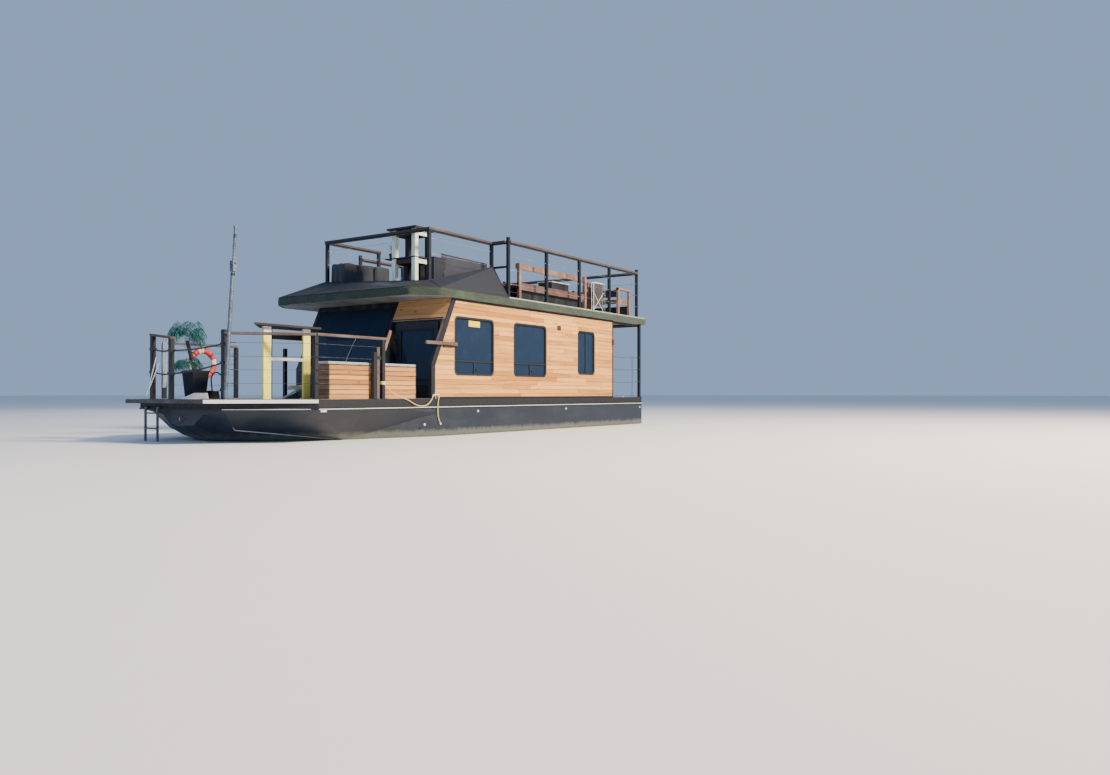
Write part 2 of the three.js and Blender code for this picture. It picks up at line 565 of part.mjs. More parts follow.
const coveredSeat = convex([
  [5280, 900, FLOOR_Z], [5280, 1560, FLOOR_Z], [6000, 900, FLOOR_Z], [6680, 1560, FLOOR_Z],
  [5280, 1380, 3350], [5280, 1480, 3350], [6680, 1480, 3370], [6680, 1420, 3370], [6000, 900, 3000],
  [5280, 900, 3000],
]);
add('windbreak', joined([coveredSeat, box(6600, 6950, 1400, 1500, FLOOR_Z, 3280)]), 'navyFabric');

function bench(x0, x1, y0, y1, facing) {
  const seatZ = FLOOR_Z + 420;
  const topZ = 3430;
  const backY = facing > 0 ? y0 : y1;
  const backIn = backY + facing * 45;
  const parts = [box(x0, x1, y0, y1, seatZ - 110, seatZ)];
  for (const x of [x0 + 35, x1 - 35]) {
    for (const y of [y0 + 35, y1 - 35]) {
      parts.push(post(x, y, FLOOR_Z, Math.sign(y - (y0 + y1) / 2) === -facing ? topZ - 10 : seatZ, 70));
    }
  }
  const [b0, b1] = [Math.min(backY, backIn), Math.max(backY, backIn)];
  parts.push(box(x0, x1, b0, b1, topZ - 110, topZ));
  return joined(parts);
}
add('bench_port', joined([
  bench(2000, 4640, 1180, 1780, -1),
  post(1770, 1745, FLOOR_Z, 3320, 50),
  post(1870, 1745, FLOOR_Z, 3320, 50),
  box(1745, 2035, 1735, 1755, 3100, 3160),
]), 'weatheredWood');
const sternSeat = [box(220, 820, 640, 1960, FLOOR_Z + 300, FLOOR_Z + 420)];
for (const x of [250, 790]) {
  for (const y of [670, 1930]) {
    sternSeat.push(post(x, y, FLOOR_Z, FLOOR_Z + 700, 60));
  }
}
for (const y of [670, 1930]) {
  sternSeat.push(box(220, 820, y - 45, y + 45, FLOOR_Z + 640, FLOOR_Z + 690));
}
sternSeat.push(box(775, 820, 640, 1960, FLOOR_Z + 500, FLOOR_Z + 640));
add('bench_stern', joined(sternSeat), 'weatheredWood');
add('folding_chair', convex([
  [1400, 1860, FLOOR_Z], [1400, 1940, FLOOR_Z], [1940, 1860, FLOOR_Z], [1940, 1940, FLOOR_Z],
  [1440, 1860, 3330], [1440, 1940, 3330], [1900, 1860, 3330], [1900, 1940, 3330],
]), 'darkFabric');

// Foredeck rails
const deckFoot = DECK_Z + GAP;
const foreTop = FORE_RAIL_Z;
const PORT_BOW_POST = [11083, 1085];
const SHOULDER_POST = [10125, 1950];
const PORT_END_X = 8780;
const GATE_POST_X = 8970;
const railZ = foreTop - RAIL_H / 2;
add('fore_rail_port', joined([
  post(...PORT_BOW_POST, deckFoot, foreTop + 30),
  post(...SHOULDER_POST, deckFoot, foreTop),
  post(PORT_END_X, RAIL_Y, deckFoot, foreTop),
  post(GATE_POST_X, RAIL_Y, deckFoot, 1420),
  bar([...PORT_BOW_POST, railZ], [10110, 1965, railZ], RAIL_W, RAIL_H),
  bar([SHOULDER_POST[0], 1962, railZ], [8700, RAIL_Y, railZ], RAIL_W, RAIL_H),
  box(8850, 8912, RAIL_Y - 12, RAIL_Y + 12, deckFoot, 1500),
  bar([PORT_END_X + 10, RAIL_Y, 1330], [GATE_POST_X - 10, RAIL_Y, 1330], 30, 60),
]), 'blackPaint');
// Rope along a sagging line between two points
function rope(from, to, sag, radius, steps) {
  const start = new THREE.Vector3(...from);
  const end = new THREE.Vector3(...to);
  const middle = start.clone().lerp(end, 0.5);
  middle.z -= 2 * sag;
  const curve = new THREE.QuadraticBezierCurve3(start, middle, end);
  return tube(curve, radius, steps, 8);
}

function tube(curve, radius, steps, sides) {
  const section = new THREE.Shape();
  for (let side = 0; side < sides; side += 1) {
    const angle = 2 * Math.PI * side / sides;
    const [x, y] = [radius * Math.cos(angle), radius * Math.sin(angle)];
    if (side === 0) {
      section.moveTo(x, y);
    } else {
      section.lineTo(x, y);
    }
  }
  return solid(new THREE.ExtrudeGeometry(section, { steps, extrudePath: curve, bevelEnabled: false }));
}

const BOW_POSTS = { x: 11310, port: 130, starboard: -350 };
const ROPE_R = 14;
const ROPE_START = 4.8;
const bowRail = [
  post(BOW_POSTS.x, BOW_POSTS.port, deckFoot, 1580),
  post(BOW_POSTS.x, BOW_POSTS.starboard, deckFoot, 1645),
  bar([BOW_POSTS.x, BOW_POSTS.starboard - 35, 1653], [BOW_POSTS.x, BOW_POSTS.port + 35, 1588], RAIL_W, 36),
];
for (const [z, midZ] of [[1480, 1400], [1200, 1050]]) {
  bowRail.push(rope(
    [PORT_BOW_POST[0] + 10, PORT_BOW_POST[1] - POST / 2 - ROPE_START, z], [BOW_POSTS.x, BOW_POSTS.port, midZ],
    25, ROPE_R, 8,
  ));
  bowRail.push(rope(
    [BOW_POSTS.x, BOW_POSTS.port, midZ], [BOW_POSTS.x, BOW_POSTS.starboard, midZ + 30], 20, ROPE_R, 6,
  ));
}
add('bow_rope_rail', joined(bowRail), 'blackPaint');
add('fore_rail_starboard', joined([
  post(8610, -RAIL_Y, deckFoot, foreTop),
  post(10080, -RAIL_Y, deckFoot, foreTop),
  bar([10100, -RAIL_Y, railZ], [8590, -RAIL_Y, railZ], 50, RAIL_H),
]), 'steel');

// Mast outside the port bow post, its upper length folding aft at the clamp
const MAST_FOOT = [11123, 1167];
const MAST_PLATE = 38;
const [pivotX, pivotY, pivotZ] = [11060, 1262, 2650];
const MAST_TOP = [11043, 1289, 3200];
const CHEEK = 14;
const clampHalf = 28;
const clampX = [pivotX - 26, pivotX + 30];
add('mast_lower', joined([
  rod([...MAST_FOOT, deckFoot + 8], [pivotX + 3, pivotY - 4, pivotZ - 80], clampHalf, 12),
  box(
    MAST_FOOT[0] - MAST_PLATE, MAST_FOOT[0] + MAST_PLATE, MAST_FOOT[1] - MAST_PLATE, MAST_FOOT[1] + MAST_PLATE,
    deckFoot, deckFoot + 10,
  ),
  box(...clampX, pivotY - clampHalf - CHEEK, pivotY - clampHalf, pivotZ - 120, pivotZ + 40),
  box(...clampX, pivotY + clampHalf, pivotY + clampHalf + CHEEK, pivotZ - 120, pivotZ + 40),
  box(...clampX, pivotY - clampHalf - CHEEK, pivotY + clampHalf + CHEEK, pivotZ - 120, pivotZ - 70),
]), 'steel');
const pivotEnd = (side) => [pivotX, pivotY + side * (clampHalf - GAP), pivotZ];
add('mast_upper', joined([
  rod([pivotX, pivotY, pivotZ - 30], MAST_TOP, 20, 12),
  rod(pivotEnd(-1), pivotEnd(1), 22, 12),
]), 'steel');

// Bow bar: a plank and a post behind it at each x of BAR_X, under one skewed board
const BAR_Y = 1340;
const BAR_X = [10530, 9780];
const BAR_TOP = 1765;
const BAR_BACK = { x: 285, y: 1010, size: 90 };
const PLANK_HALF = [70, 20];
const barFrame = [];
for (const x of BAR_X) {
  const backX = x - BAR_BACK.x;
  barFrame.push(box(
    x - PLANK_HALF[0], x + PLANK_HALF[0], BAR_Y - PLANK_HALF[1], BAR_Y + PLANK_HALF[1], deckFoot, BAR_TOP,
  ));
  barFrame.push(post(backX, BAR_BACK.y, deckFoot, BAR_TOP, BAR_BACK.size));
  barFrame.push(bar([backX, BAR_BACK.y, 1650], [x - 20, BAR_Y, 1650], 40, 99));
}
barFrame.push(box(BAR_X[1], BAR_X[0], BAR_Y - 20, BAR_Y + 20, 1250, 1297));
barFrame.push(box(
  BAR_X[1] - BAR_BACK.x, BAR_X[0] - BAR_BACK.x, BAR_BACK.y - 20, BAR_BACK.y + 20, 1600, 1699,
));
add('bow_bar_frame', joined(barFrame), 'yellowPaint');
add('bow_bar_top', slab(
  [[9300, 910], [10330, 910], [10839, 1450], [9567, 1450]], BAR_TOP + GAP, BAR_TOP + 35,
), 'blackPaint');

// Planter, palm and lifebuoy
const PLANTER = { x: 10620, y: -295, top: 1117 };
const SOIL_DEPTH = 60;
function taperedBlock(x, y, z0, z1, lowHalf, highHalf) {
  return convex([[lowHalf, z0], [highHalf, z1]].flatMap(([half, z]) => [
    [x - half, y - half, z], [x + half, y - half, z], [x + half, y + half, z], [x - half, y + half, z],
  ]));
}
add('planter', taperedBlock(PLANTER.x, PLANTER.y, deckFoot, PLANTER.top, 115, 158)
  .subtract(taperedBlock(PLANTER.x, PLANTER.y, PLANTER.top - SOIL_DEPTH, PLANTER.top + 40, 132, 146)), 'blackPaint');
function foliage(centre, half, height) {
  const geometry = new THREE.SphereGeometry(1, 14, 8);
  geometry.scale(half, half, height);
  geometry.translate(...centre);
  return solid(geometry);
}
const PALM_HEAD = [10680, -435];
add('palm', joined([
  rod([PLANTER.x, PLANTER.y, PLANTER.top - SOIL_DEPTH + 14], [...PALM_HEAD, 1500], 40, 10),
  foliage([...PALM_HEAD, 1680], 215, 240),
  foliage([10650, -450, 1260], 170, 110),
]), 'palmGreen');
// The ring hangs from a lanyard over the starboard rail, inboard of it
const RING = { x: 9380, y: -1930, z: 1290, radius: 235, tube: 50 };
const ring = new THREE.TorusGeometry(RING.radius, RING.tube, 8, 20);
ring.rotateX(Math.PI / 2);
ring.translate(RING.x, RING.y, RING.z);
const railHalf = 25 + GAP;
const LANYARD = { x0: RING.x - 8, x1: RING.x + 8, thick: 12, top: foreTop + GAP + 12 };
add('lifebuoy', joined([
  solid(ring),
  box(
    LANYARD.x0, LANYARD.x1, -RAIL_Y - railHalf - LANYARD.thick, -RAIL_Y + railHalf + LANYARD.thick,
    foreTop + GAP, LANYARD.top,
  ),
  box(
    LANYARD.x0, LANYARD.x1, -RAIL_Y + railHalf, -RAIL_Y + railHalf + LANYARD.thick, RING.z + RING.radius - 10,
    LANYARD.top,
  ),
  box(LANYARD.x0, LANYARD.x1, -RAIL_Y - railHalf - LANYARD.thick, -RAIL_Y - railHalf, 1630, LANYARD.top),
]), 'lifeRed');

// Seat boxes with lids hinged along their outboard edge. Columns: name, x from, x to
const SEAT = { y0: 1600, y1: 1950, top: 1196, wall: 25 };
for (const [name, x0, x1] of [['fore', 9014, 9858], ['aft', 7920, 8736]]) {
  const axis = [SEAT.y1 + 14, SEAT.top + 12];
  const knuckles = [x0 + 200, x1 - 200].map((x) => hingePair(
    [x, ...axis], [1, 0, 0],
    [x - HINGE_LENGTH, x - GAP / 2, SEAT.y1 - 15, axis[0], SEAT.top - 12, SEAT.top + 4],
    [x + GAP / 2, x + HINGE_LENGTH, SEAT.y1 - 40, axis[0], SEAT.top + 12, SEAT.top + 20],
  ));
  add(`seat_box_${name}`, box(x0, x1, SEAT.y0, SEAT.y1, deckFoot, SEAT.top)
    .subtract(box(x0 + SEAT.wall, x1 - SEAT.wall, SEAT.y0 + SEAT.wall, SEAT.y1 - SEAT.wall,
      deckFoot + SEAT.wall, SEAT.top + 10))
    .add(joined(knuckles.map(({ fixed }) => fixed))), 'plank');
  add(`seat_lid_${name}`, joined([
    box(x0 - 8, x1 + 8, SEAT.y0 - 10, SEAT.y1 - 2, SEAT.top + CLEAR, SEAT.top + CLEAR + 44),
    ...knuckles.map(({ moving }) => moving),
  ]), 'paleCover');
}

// Aft deck posts, roof ladder and cleats
for (const [side, sign] of [['port', 1], ['starboard', -1]]) {
  add(`aft_post_${side}`, post(STERN_X + 40, sign * 2000, deckFoot, ROOF_UNDER_Z - GAP), 'blackPaint');
}
const ladder = [];
for (const y of [LADDER.y0, LADDER.y1]) {
  ladder.push(bar([LADDER.footX, y, LADDER.footZ], [LADDER.headX, y, LADDER.headZ], 40, LADDER.width));
}
for (let step = 1; step < 8; step += 1) {
  const z = DECK_Z + step * 250;
  const x = ladderX(z);
  ladder.push(box(x - 60, x + 60, LADDER.y0, LADDER.y1, z - 15, z + 15));
}
add('roof_ladder', joined(ladder).subtract(box(800, 1150, -1800, -1000, 400, deckFoot)), 'steel');
const LEDGE_Y = 2031;
function cleat(x, y) {
  return joined([
    box(x - 35, x + 35, y - 10, y + 10, deckFoot, DECK_Z + 40),
    rod([x - 100, y, DECK_Z + 46], [x + 100, y, DECK_Z + 46], 9, 8),
  ]);
}
add('cleat_port_mid', cleat(7480, LEDGE_Y), 'steel');
add('cleat_port_aft', cleat(700, LEDGE_Y - 20), 'steel');
add('cleat_starboard_aft', cleat(700, 20 - LEDGE_Y), 'steel');

// Boarding ladder
const boarding = boardKnuckles.map(({ moving }) => moving);
for (const y of BOARD.y) {
  boarding.push(box(BOARD.x - 15, BOARD.x + 15, y + GAP / 2, y + 30, BOARD.foot, BOARD.z - 40));
}
for (let rung = 0; rung < 4; rung += 1) {
  const z = BOARD.foot + 40 + rung * 240;
  boarding.push(box(BOARD.x - 20, BOARD.x + 20, BOARD.y[0] + 5, BOARD.y[1] + 10, z - 10, z + 10));
}
add('bow_ladder', joined(boarding), 'steel');

// Mooring rope: one span draped from the port rail post to the cleat, and its free tail
const MOORING_R = 8;
const mooringSpan = [
  [8795, 2052, 912], [8747, 2056, 872], [8640, 2060, 790], [8497, 2062, 722], [8360, 2064, 678],
  [8236, 2066, 640], [8150, 2070, 602], [8077, 2075, 568], [7985, 2079, 543], [7888, 2080, 535],
  [7800, 2079, 549], [7725, 2075, 582], [7660, 2070, 634], [7618, 2064, 682], [7598, 2056, 710],
  [7575, 2042, 726], [7535, 2032, 723.4], [7490, 2031, 722.6],
];
const mooringTail = [
  [7470, 2031, 723.3], [7452, 2040, 722.6], [7446, 2056, 712], [7456, 2068, 682], [7474, 2072, 640],
  [7488, 2076, 590], [7496, 2079, 540], [7498, 2080, 490], [7496, 2078, 430], [7484, 2074, 360],
  [7455, 2070, 290], [7412, 2066, 216],
];
for (const [name, route, steps] of [['mooring_line', mooringSpan, 44], ['mooring_tail', mooringTail, 24]]) {
  const curve = new THREE.CatmullRomCurve3(route.map((point) => new THREE.Vector3(...point)));
  add(name, tube(curve, MOORING_R, steps, 8), 'yellowRope');
}

export default boat;
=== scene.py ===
"""Dresses the jointed houseboat: its finishes, boards, rails, ropes, covers and deck gear. Metres, +X forward."""

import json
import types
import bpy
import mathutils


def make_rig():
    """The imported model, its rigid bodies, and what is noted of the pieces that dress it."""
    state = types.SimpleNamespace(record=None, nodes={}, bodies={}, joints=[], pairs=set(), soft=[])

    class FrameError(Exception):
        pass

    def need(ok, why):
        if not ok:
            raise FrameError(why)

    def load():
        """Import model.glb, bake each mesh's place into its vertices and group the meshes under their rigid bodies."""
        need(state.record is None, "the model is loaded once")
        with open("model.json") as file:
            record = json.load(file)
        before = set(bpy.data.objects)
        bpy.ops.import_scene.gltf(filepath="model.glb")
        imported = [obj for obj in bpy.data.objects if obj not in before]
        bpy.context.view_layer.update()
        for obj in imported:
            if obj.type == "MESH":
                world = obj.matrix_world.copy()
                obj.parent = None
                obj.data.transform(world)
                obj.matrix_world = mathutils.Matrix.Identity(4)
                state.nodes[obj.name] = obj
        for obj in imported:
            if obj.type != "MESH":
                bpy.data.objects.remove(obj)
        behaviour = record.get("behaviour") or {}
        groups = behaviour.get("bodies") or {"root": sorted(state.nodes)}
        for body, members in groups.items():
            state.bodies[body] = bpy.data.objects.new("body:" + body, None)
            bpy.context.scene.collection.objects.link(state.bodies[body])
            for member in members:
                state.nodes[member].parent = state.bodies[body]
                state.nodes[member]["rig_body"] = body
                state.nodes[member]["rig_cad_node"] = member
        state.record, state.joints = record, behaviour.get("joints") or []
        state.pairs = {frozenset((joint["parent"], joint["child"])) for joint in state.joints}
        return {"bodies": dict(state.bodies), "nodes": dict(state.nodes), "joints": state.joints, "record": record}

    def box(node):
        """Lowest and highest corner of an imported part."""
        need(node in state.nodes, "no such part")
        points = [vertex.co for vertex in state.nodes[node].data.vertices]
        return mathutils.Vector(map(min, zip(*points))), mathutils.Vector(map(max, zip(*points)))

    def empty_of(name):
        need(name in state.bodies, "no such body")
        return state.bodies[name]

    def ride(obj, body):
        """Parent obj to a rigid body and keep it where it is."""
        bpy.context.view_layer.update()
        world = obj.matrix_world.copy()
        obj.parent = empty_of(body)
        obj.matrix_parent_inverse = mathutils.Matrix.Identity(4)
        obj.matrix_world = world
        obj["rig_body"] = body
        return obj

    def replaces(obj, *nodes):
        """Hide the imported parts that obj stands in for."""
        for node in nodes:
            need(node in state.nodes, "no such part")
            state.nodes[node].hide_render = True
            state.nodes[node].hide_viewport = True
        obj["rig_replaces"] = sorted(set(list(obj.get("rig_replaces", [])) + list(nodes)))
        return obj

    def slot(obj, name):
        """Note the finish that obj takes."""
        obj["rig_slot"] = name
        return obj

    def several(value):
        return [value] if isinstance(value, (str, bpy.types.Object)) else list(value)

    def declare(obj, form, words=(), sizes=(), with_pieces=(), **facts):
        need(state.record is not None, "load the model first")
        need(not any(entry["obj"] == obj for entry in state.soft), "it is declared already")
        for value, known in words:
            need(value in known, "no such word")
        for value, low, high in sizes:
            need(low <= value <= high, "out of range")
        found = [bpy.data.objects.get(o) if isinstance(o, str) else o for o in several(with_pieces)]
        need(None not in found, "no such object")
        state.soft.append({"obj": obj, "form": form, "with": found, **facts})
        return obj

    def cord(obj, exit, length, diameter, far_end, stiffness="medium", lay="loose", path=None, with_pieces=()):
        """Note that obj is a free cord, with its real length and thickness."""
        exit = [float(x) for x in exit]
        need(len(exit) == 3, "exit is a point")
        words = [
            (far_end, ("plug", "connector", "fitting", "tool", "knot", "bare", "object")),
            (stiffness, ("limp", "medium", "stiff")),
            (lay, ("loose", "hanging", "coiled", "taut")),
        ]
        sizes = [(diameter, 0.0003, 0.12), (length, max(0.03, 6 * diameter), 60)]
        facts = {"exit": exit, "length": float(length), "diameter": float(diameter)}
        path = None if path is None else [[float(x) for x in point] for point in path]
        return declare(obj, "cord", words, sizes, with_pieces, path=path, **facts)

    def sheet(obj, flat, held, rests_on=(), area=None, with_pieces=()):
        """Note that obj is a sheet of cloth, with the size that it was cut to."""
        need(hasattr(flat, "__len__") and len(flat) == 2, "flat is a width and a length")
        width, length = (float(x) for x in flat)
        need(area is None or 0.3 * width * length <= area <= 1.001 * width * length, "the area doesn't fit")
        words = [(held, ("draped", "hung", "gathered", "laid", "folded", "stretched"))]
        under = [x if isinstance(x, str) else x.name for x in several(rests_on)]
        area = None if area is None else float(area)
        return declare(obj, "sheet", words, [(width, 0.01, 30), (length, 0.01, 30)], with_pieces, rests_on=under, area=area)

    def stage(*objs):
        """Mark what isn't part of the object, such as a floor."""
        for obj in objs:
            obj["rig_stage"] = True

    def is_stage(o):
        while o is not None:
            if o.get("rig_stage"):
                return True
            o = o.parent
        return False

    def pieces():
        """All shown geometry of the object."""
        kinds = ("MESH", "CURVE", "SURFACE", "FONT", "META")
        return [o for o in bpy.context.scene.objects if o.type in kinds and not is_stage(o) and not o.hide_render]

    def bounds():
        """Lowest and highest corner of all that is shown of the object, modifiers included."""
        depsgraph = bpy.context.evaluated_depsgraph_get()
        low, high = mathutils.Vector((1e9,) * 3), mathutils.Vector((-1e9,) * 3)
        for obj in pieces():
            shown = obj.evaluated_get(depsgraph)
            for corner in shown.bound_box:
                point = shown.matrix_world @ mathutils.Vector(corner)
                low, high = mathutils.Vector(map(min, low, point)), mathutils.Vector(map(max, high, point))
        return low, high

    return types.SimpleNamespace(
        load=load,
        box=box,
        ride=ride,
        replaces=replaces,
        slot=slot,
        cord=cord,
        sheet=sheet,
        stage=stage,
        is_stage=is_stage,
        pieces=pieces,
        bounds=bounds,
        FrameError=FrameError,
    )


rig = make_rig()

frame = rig.load()

import json
import logging
import math
import random
from dataclasses import dataclass, field
from enum import Enum
from typing import Iterable, Sequence

import bmesh
import bpy
from mathutils import Matrix, Vector

CAD_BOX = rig.bounds()
log = logging.getLogger("houseboat")
Point = Sequence[float]
Pair = tuple[float, float]
Node = bpy.types.Node
Source = bpy.types.Node | bpy.types.NodeSocket

# Shared sizes of the boat, in metres
DECK_Z = 0.66
HALF_BEAM = 2.05
BOW_X = 11.37
BOW_HALF = 1.0
SHOULDER_X = 10.15
STERN_X = -0.2
SIDE_Y = 2.01
CABIN_AFT_X = 1.2
CABIN_FRONT_X = 7.6
RAKE_START_Z = 1.25
RAKE = 0.47
SOFFIT_Z = 2.48
ROOF_Z = 2.61
ROOF_AFT_X = -0.35
ROOF_FRONT_X = 7.85
ROOF_HALF = 2.08
ROOF_CORNER = (0.40, 0.36)
FLY_RAIL_Z = 3.73
FLY_RAIL_Y = 2.04
FLY_FRONT_X = 7.25
FLY_STEP_X = 5.41
LEAN_PORT_Y = 1.65
LEAN_STARBOARD_Y = -1.01
LEAN_STARBOARD_AFT_X = 5.85
POST = 0.065
FLY_POST = 0.060
CLOTH_THICKNESS = 0.003


class Axis(Enum):
    """A direction of the boat's frame."""

    X = 0
    Y = 1
    Z = 2

    def grain(self, across: float, along: float) -> list[float]:
        """Cycles a metre of a pattern that is drawn out along this direction."""
        return [along if axis is self else across for axis in Axis]


def linear(code: str) -> tuple[float, float, float, float]:
    """Turns an sRGB hex colour into linear values.

    Args:
        code: Six hex digits.

    Returns:
        Linear red, green, blue and an alpha of 1.
    """
    parts = [int(code[i:i + 2], 16) / 255 for i in (0, 2, 4)]
    curve = [c / 12.92 if c <= 0.04045 else ((c + 0.055) / 1.055) ** 2.4 for c in parts]
    return (curve[0], curve[1], curve[2], 1.0)


def span(value: Source, low: Pair, high: Pair) -> dict:
    """The inputs that map a value from one range to another: each end is a value and what it becomes."""
    return {0: value, 1: low[0], 2: high[0], 3: low[1], 4: high[1]}


class Coating:
    """One material while it is made: its node tree, its shader and its colour so far."""

    def __init__(self, name: str) -> None:
        """Starts the material with its shader and its output."""
        made = bpy.data.materials.new(name)
        made.use_nodes = True
        self.tree = made.node_tree
        self.tree.nodes.clear()
        self.shader = self.node("BsdfPrincipled")
        self.node("OutputMaterial", {"Surface": self.shader})
        self.colour: object = None

    def node(self, kind: str, links: dict | None = None, **settings: object) -> Node:
        """Adds a shader node with its settings and links.

        Args:
            kind: The node's type name without its prefix.
            links: Input name or number to a constant, a socket, or a node for its first output.
            settings: Attributes of the node.

        Returns:
            The new node.
        """
        made = self.tree.nodes.new(f"ShaderNode{kind}")
        for key, value in settings.items():
            setattr(made, key, value)
        self.wire(made, links or {})
        return made

    def wire(self, made: Node, links: dict) -> None:
        """Sets a node's inputs to constants, sockets or nodes."""
        for key, value in links.items():
            value = value.outputs[0] if isinstance(value, Node) else value
            if isinstance(value, bpy.types.NodeSocket):
                self.tree.links.new(value, made.inputs[key])
            else:
                made.inputs[key].default_value = value

    def place(self, cycles: Point, shift: Source | None = None) -> Node:
        """Gives the boat's coordinates in cycles a metre, with a shift first so that neighbours differ."""
        where = self.node("TexCoord").outputs["Object"]
        if shift is not None:
            where = self.node("VectorMath", {0: where, 1: shift}, operation="ADD")
        return self.node("Mapping", {"Vector": where, "Scale": cycles})

    def mottle(self, cycles: Point, detail: float, rough: float = 0.55, scale: float = 1.0,
               shift: Source | None = None) -> Node:
        """Gives an uneven value from 0 to 1 over the boat's coordinates."""
        links = {"Vector": self.place(cycles, shift), "Scale": scale, "Detail": detail, "Roughness": rough}
        return self.node("TexNoise", links)

    def layer(self, amount: Source, code: str) -> None:
        """Lays a colour over the one so far, by an amount."""
        links = {0: amount, 6: self.colour, 7: linear(code)}
        self.colour = self.node("Mix", links, data_type="RGBA").outputs[2]

    def patches(self, value: Source, low: Pair, high: Pair, code: str) -> None:
        """Lays a colour over the one so far where a value is in a range."""
        self.layer(self.node("MapRange", span(value, low, high)), code)

    def grade(self, value: Source, low: Pair, high: Pair, stops: Sequence[tuple[float, str]]) -> None:
        """Colours a value's range by stops: places from 0 to 1 and their hex colours."""
        made = self.node("ValToRGB", {"Fac": self.node("MapRange", span(value, low, high))})
        elements = made.color_ramp.elements
        while len(elements) < len(stops):
            elements.new(0.5)
        for element, (place, code) in zip(elements, stops):
            element.position = place
            element.color = linear(code)
        self.colour = made.outputs["Color"]

    def close(self, rough: float | tuple[Source, Pair, Pair], relief: tuple[Source, float, float] | None = None,
              **inputs: float) -> None:
        """Sets the shader's inputs.

        Args:
            rough: The roughness, or a value with the range that it makes.
            relief: A height, its depth in millimetres and its strength.
            inputs: Other inputs of the shader, with underscores for spaces.
        """
        roughness = self.node("MapRange", span(*rough)) if isinstance(rough, tuple) else rough
        self.wire(self.shader, {"Base Color": self.colour, "Roughness": roughness})
        self.wire(self.shader, {name.replace("_", " "): value for name, value in inputs.items()})
        if relief:
            height, depth_mm, strength = relief
            links = {"Height": height, "Distance": depth_mm / 1000, "Strength": strength}
            self.wire(self.shader, {"Normal": self.node("Bump", links)})


@dataclass(frozen=True)
class Finish:
    """A surface finish. Each kind says what its real material is and lays it on a coating."""

    label: str

    def material(self) -> bpy.types.Material:
        """Builds the material once and returns it."""
        name = f"finish_{self.label}"
        if name not in bpy.data.materials:
            self.dress(Coating(name))
        return bpy.data.materials[name]

    def dress(self, mix: Coating) -> None:
        """Lays the finish on. Each kind has its own."""
        raise NotImplementedError


@dataclass(frozen=True)
class StainedPine(Finish):
    """Planed pine boards under a penetrating oil stain: warm, low sheen, late-wood lines and small knots."""

    light: str
    deep: str
    along: Axis = Axis.X
    sheen_rough: float = 0.52

    def dress(self, mix: Coating) -> None:
        """Board tone by attribute, grain 6 mm apart drawn coarse enough to show, knots a hand's width apart."""
        tone = mix.node("Attribute", attribute_name="tone").outputs["Fac"]
        moved = mix.node("Math", {0: tone, 1: 31.0}, operation="MULTIPLY")
        grain = self.along.grain(26.0, 1.1)
        fine = mix.mottle(grain, 6.0, 0.62, 1.6, moved)
        broad = mix.mottle(grain, 3.0, 0.55, 0.32, moved)
        mixed = mix.node("Math", {0: fine, 1: broad, 2: 0.0}, operation="MULTIPLY_ADD")
        level = mix.node("Math", {0: tone, 1: 0.55, 2: mixed}, operation="MULTIPLY_ADD")
        mix.grade(level, (0.16, 0.0), (0.85, 1.0), [(0.0, self.deep), (0.42, self.light), (1.0, self.deep)])
        rings = mix.node("Math", {0: fine, 1: 0.56}, operation="GREATER_THAN")
        mix.layer(mix.node("Math", {0: rings, 1: 0.13}, operation="MULTIPLY"), self.deep)
        knots = mix.node("TexVoronoi", {"Vector": mix.place(self.along.grain(9.0, 3.4), moved), "Scale": 0.8})
        mix.patches(knots, (0.05, 0.75), (0.16, 0.0), "6d4322")
        mix.close((fine, (0.3, self.sheen_rough), (0.7, self.sheen_rough + 0.22)), (fine, 0.8, 0.6))


@dataclass(frozen=True)
class WeatheredWood(Finish):
    """Softwood left outdoors: greyed faces, redder where it is rubbed, open grain and checks."""

    grey: str
    warm: str
    along: Axis = Axis.X

    def dress(self, mix: Coating) -> None:
        """Greyed colour patches 0.3 m long with grain raised about a millimetre."""
        tone = mix.node("Attribute", attribute_name="tone").outputs["Fac"]
        moved = mix.node("Math", {0: tone, 1: 17.0}, operation="MULTIPLY")
        grain = mix.mottle(self.along.grain(34.0, 1.6), 7.0, 0.68, 1.5, moved)
        mix.colour = linear(self.warm)
        mix.patches(mix.mottle((3, 3, 3), 4.0, shift=moved), (0.40, 0.0), (0.62, 1.0), self.grey)
        mix.patches(grain, (0.34, 0.6), (0.52, 0.0), "3b2b24")
        mix.close(0.78, (grain, 1.2, 0.7))


@dataclass(frozen=True)
class PaintedTimber(Finish):
    """Planed timber under brushed alkyd paint: brush lines, worn corners and a little dirt."""

    coat: str
    bare: str
    along: Axis = Axis.Z

    def dress(self, mix: Coating) -> None:
        """Brush lines drawn out along the timber, chipped spots a few centimetres wide, faint stains."""
        stain = mix.mottle((5, 5, 2.2), 5.0, 0.6)
        mix.colour = linear(self.coat)
        mix.patches(stain, (0.45, 0.0), (0.8, 0.42), "8d8a6c")
        mix.patches(mix.mottle((26, 26, 26), 6.0, 0.7), (0.66, 0.0), (0.70, 0.85), self.bare)
        mix.close((stain, (0.3, 0.38), (0.7, 0.6)), (mix.mottle(self.along.grain(90.0, 4.0), 3.0), 0.35, 0.5))


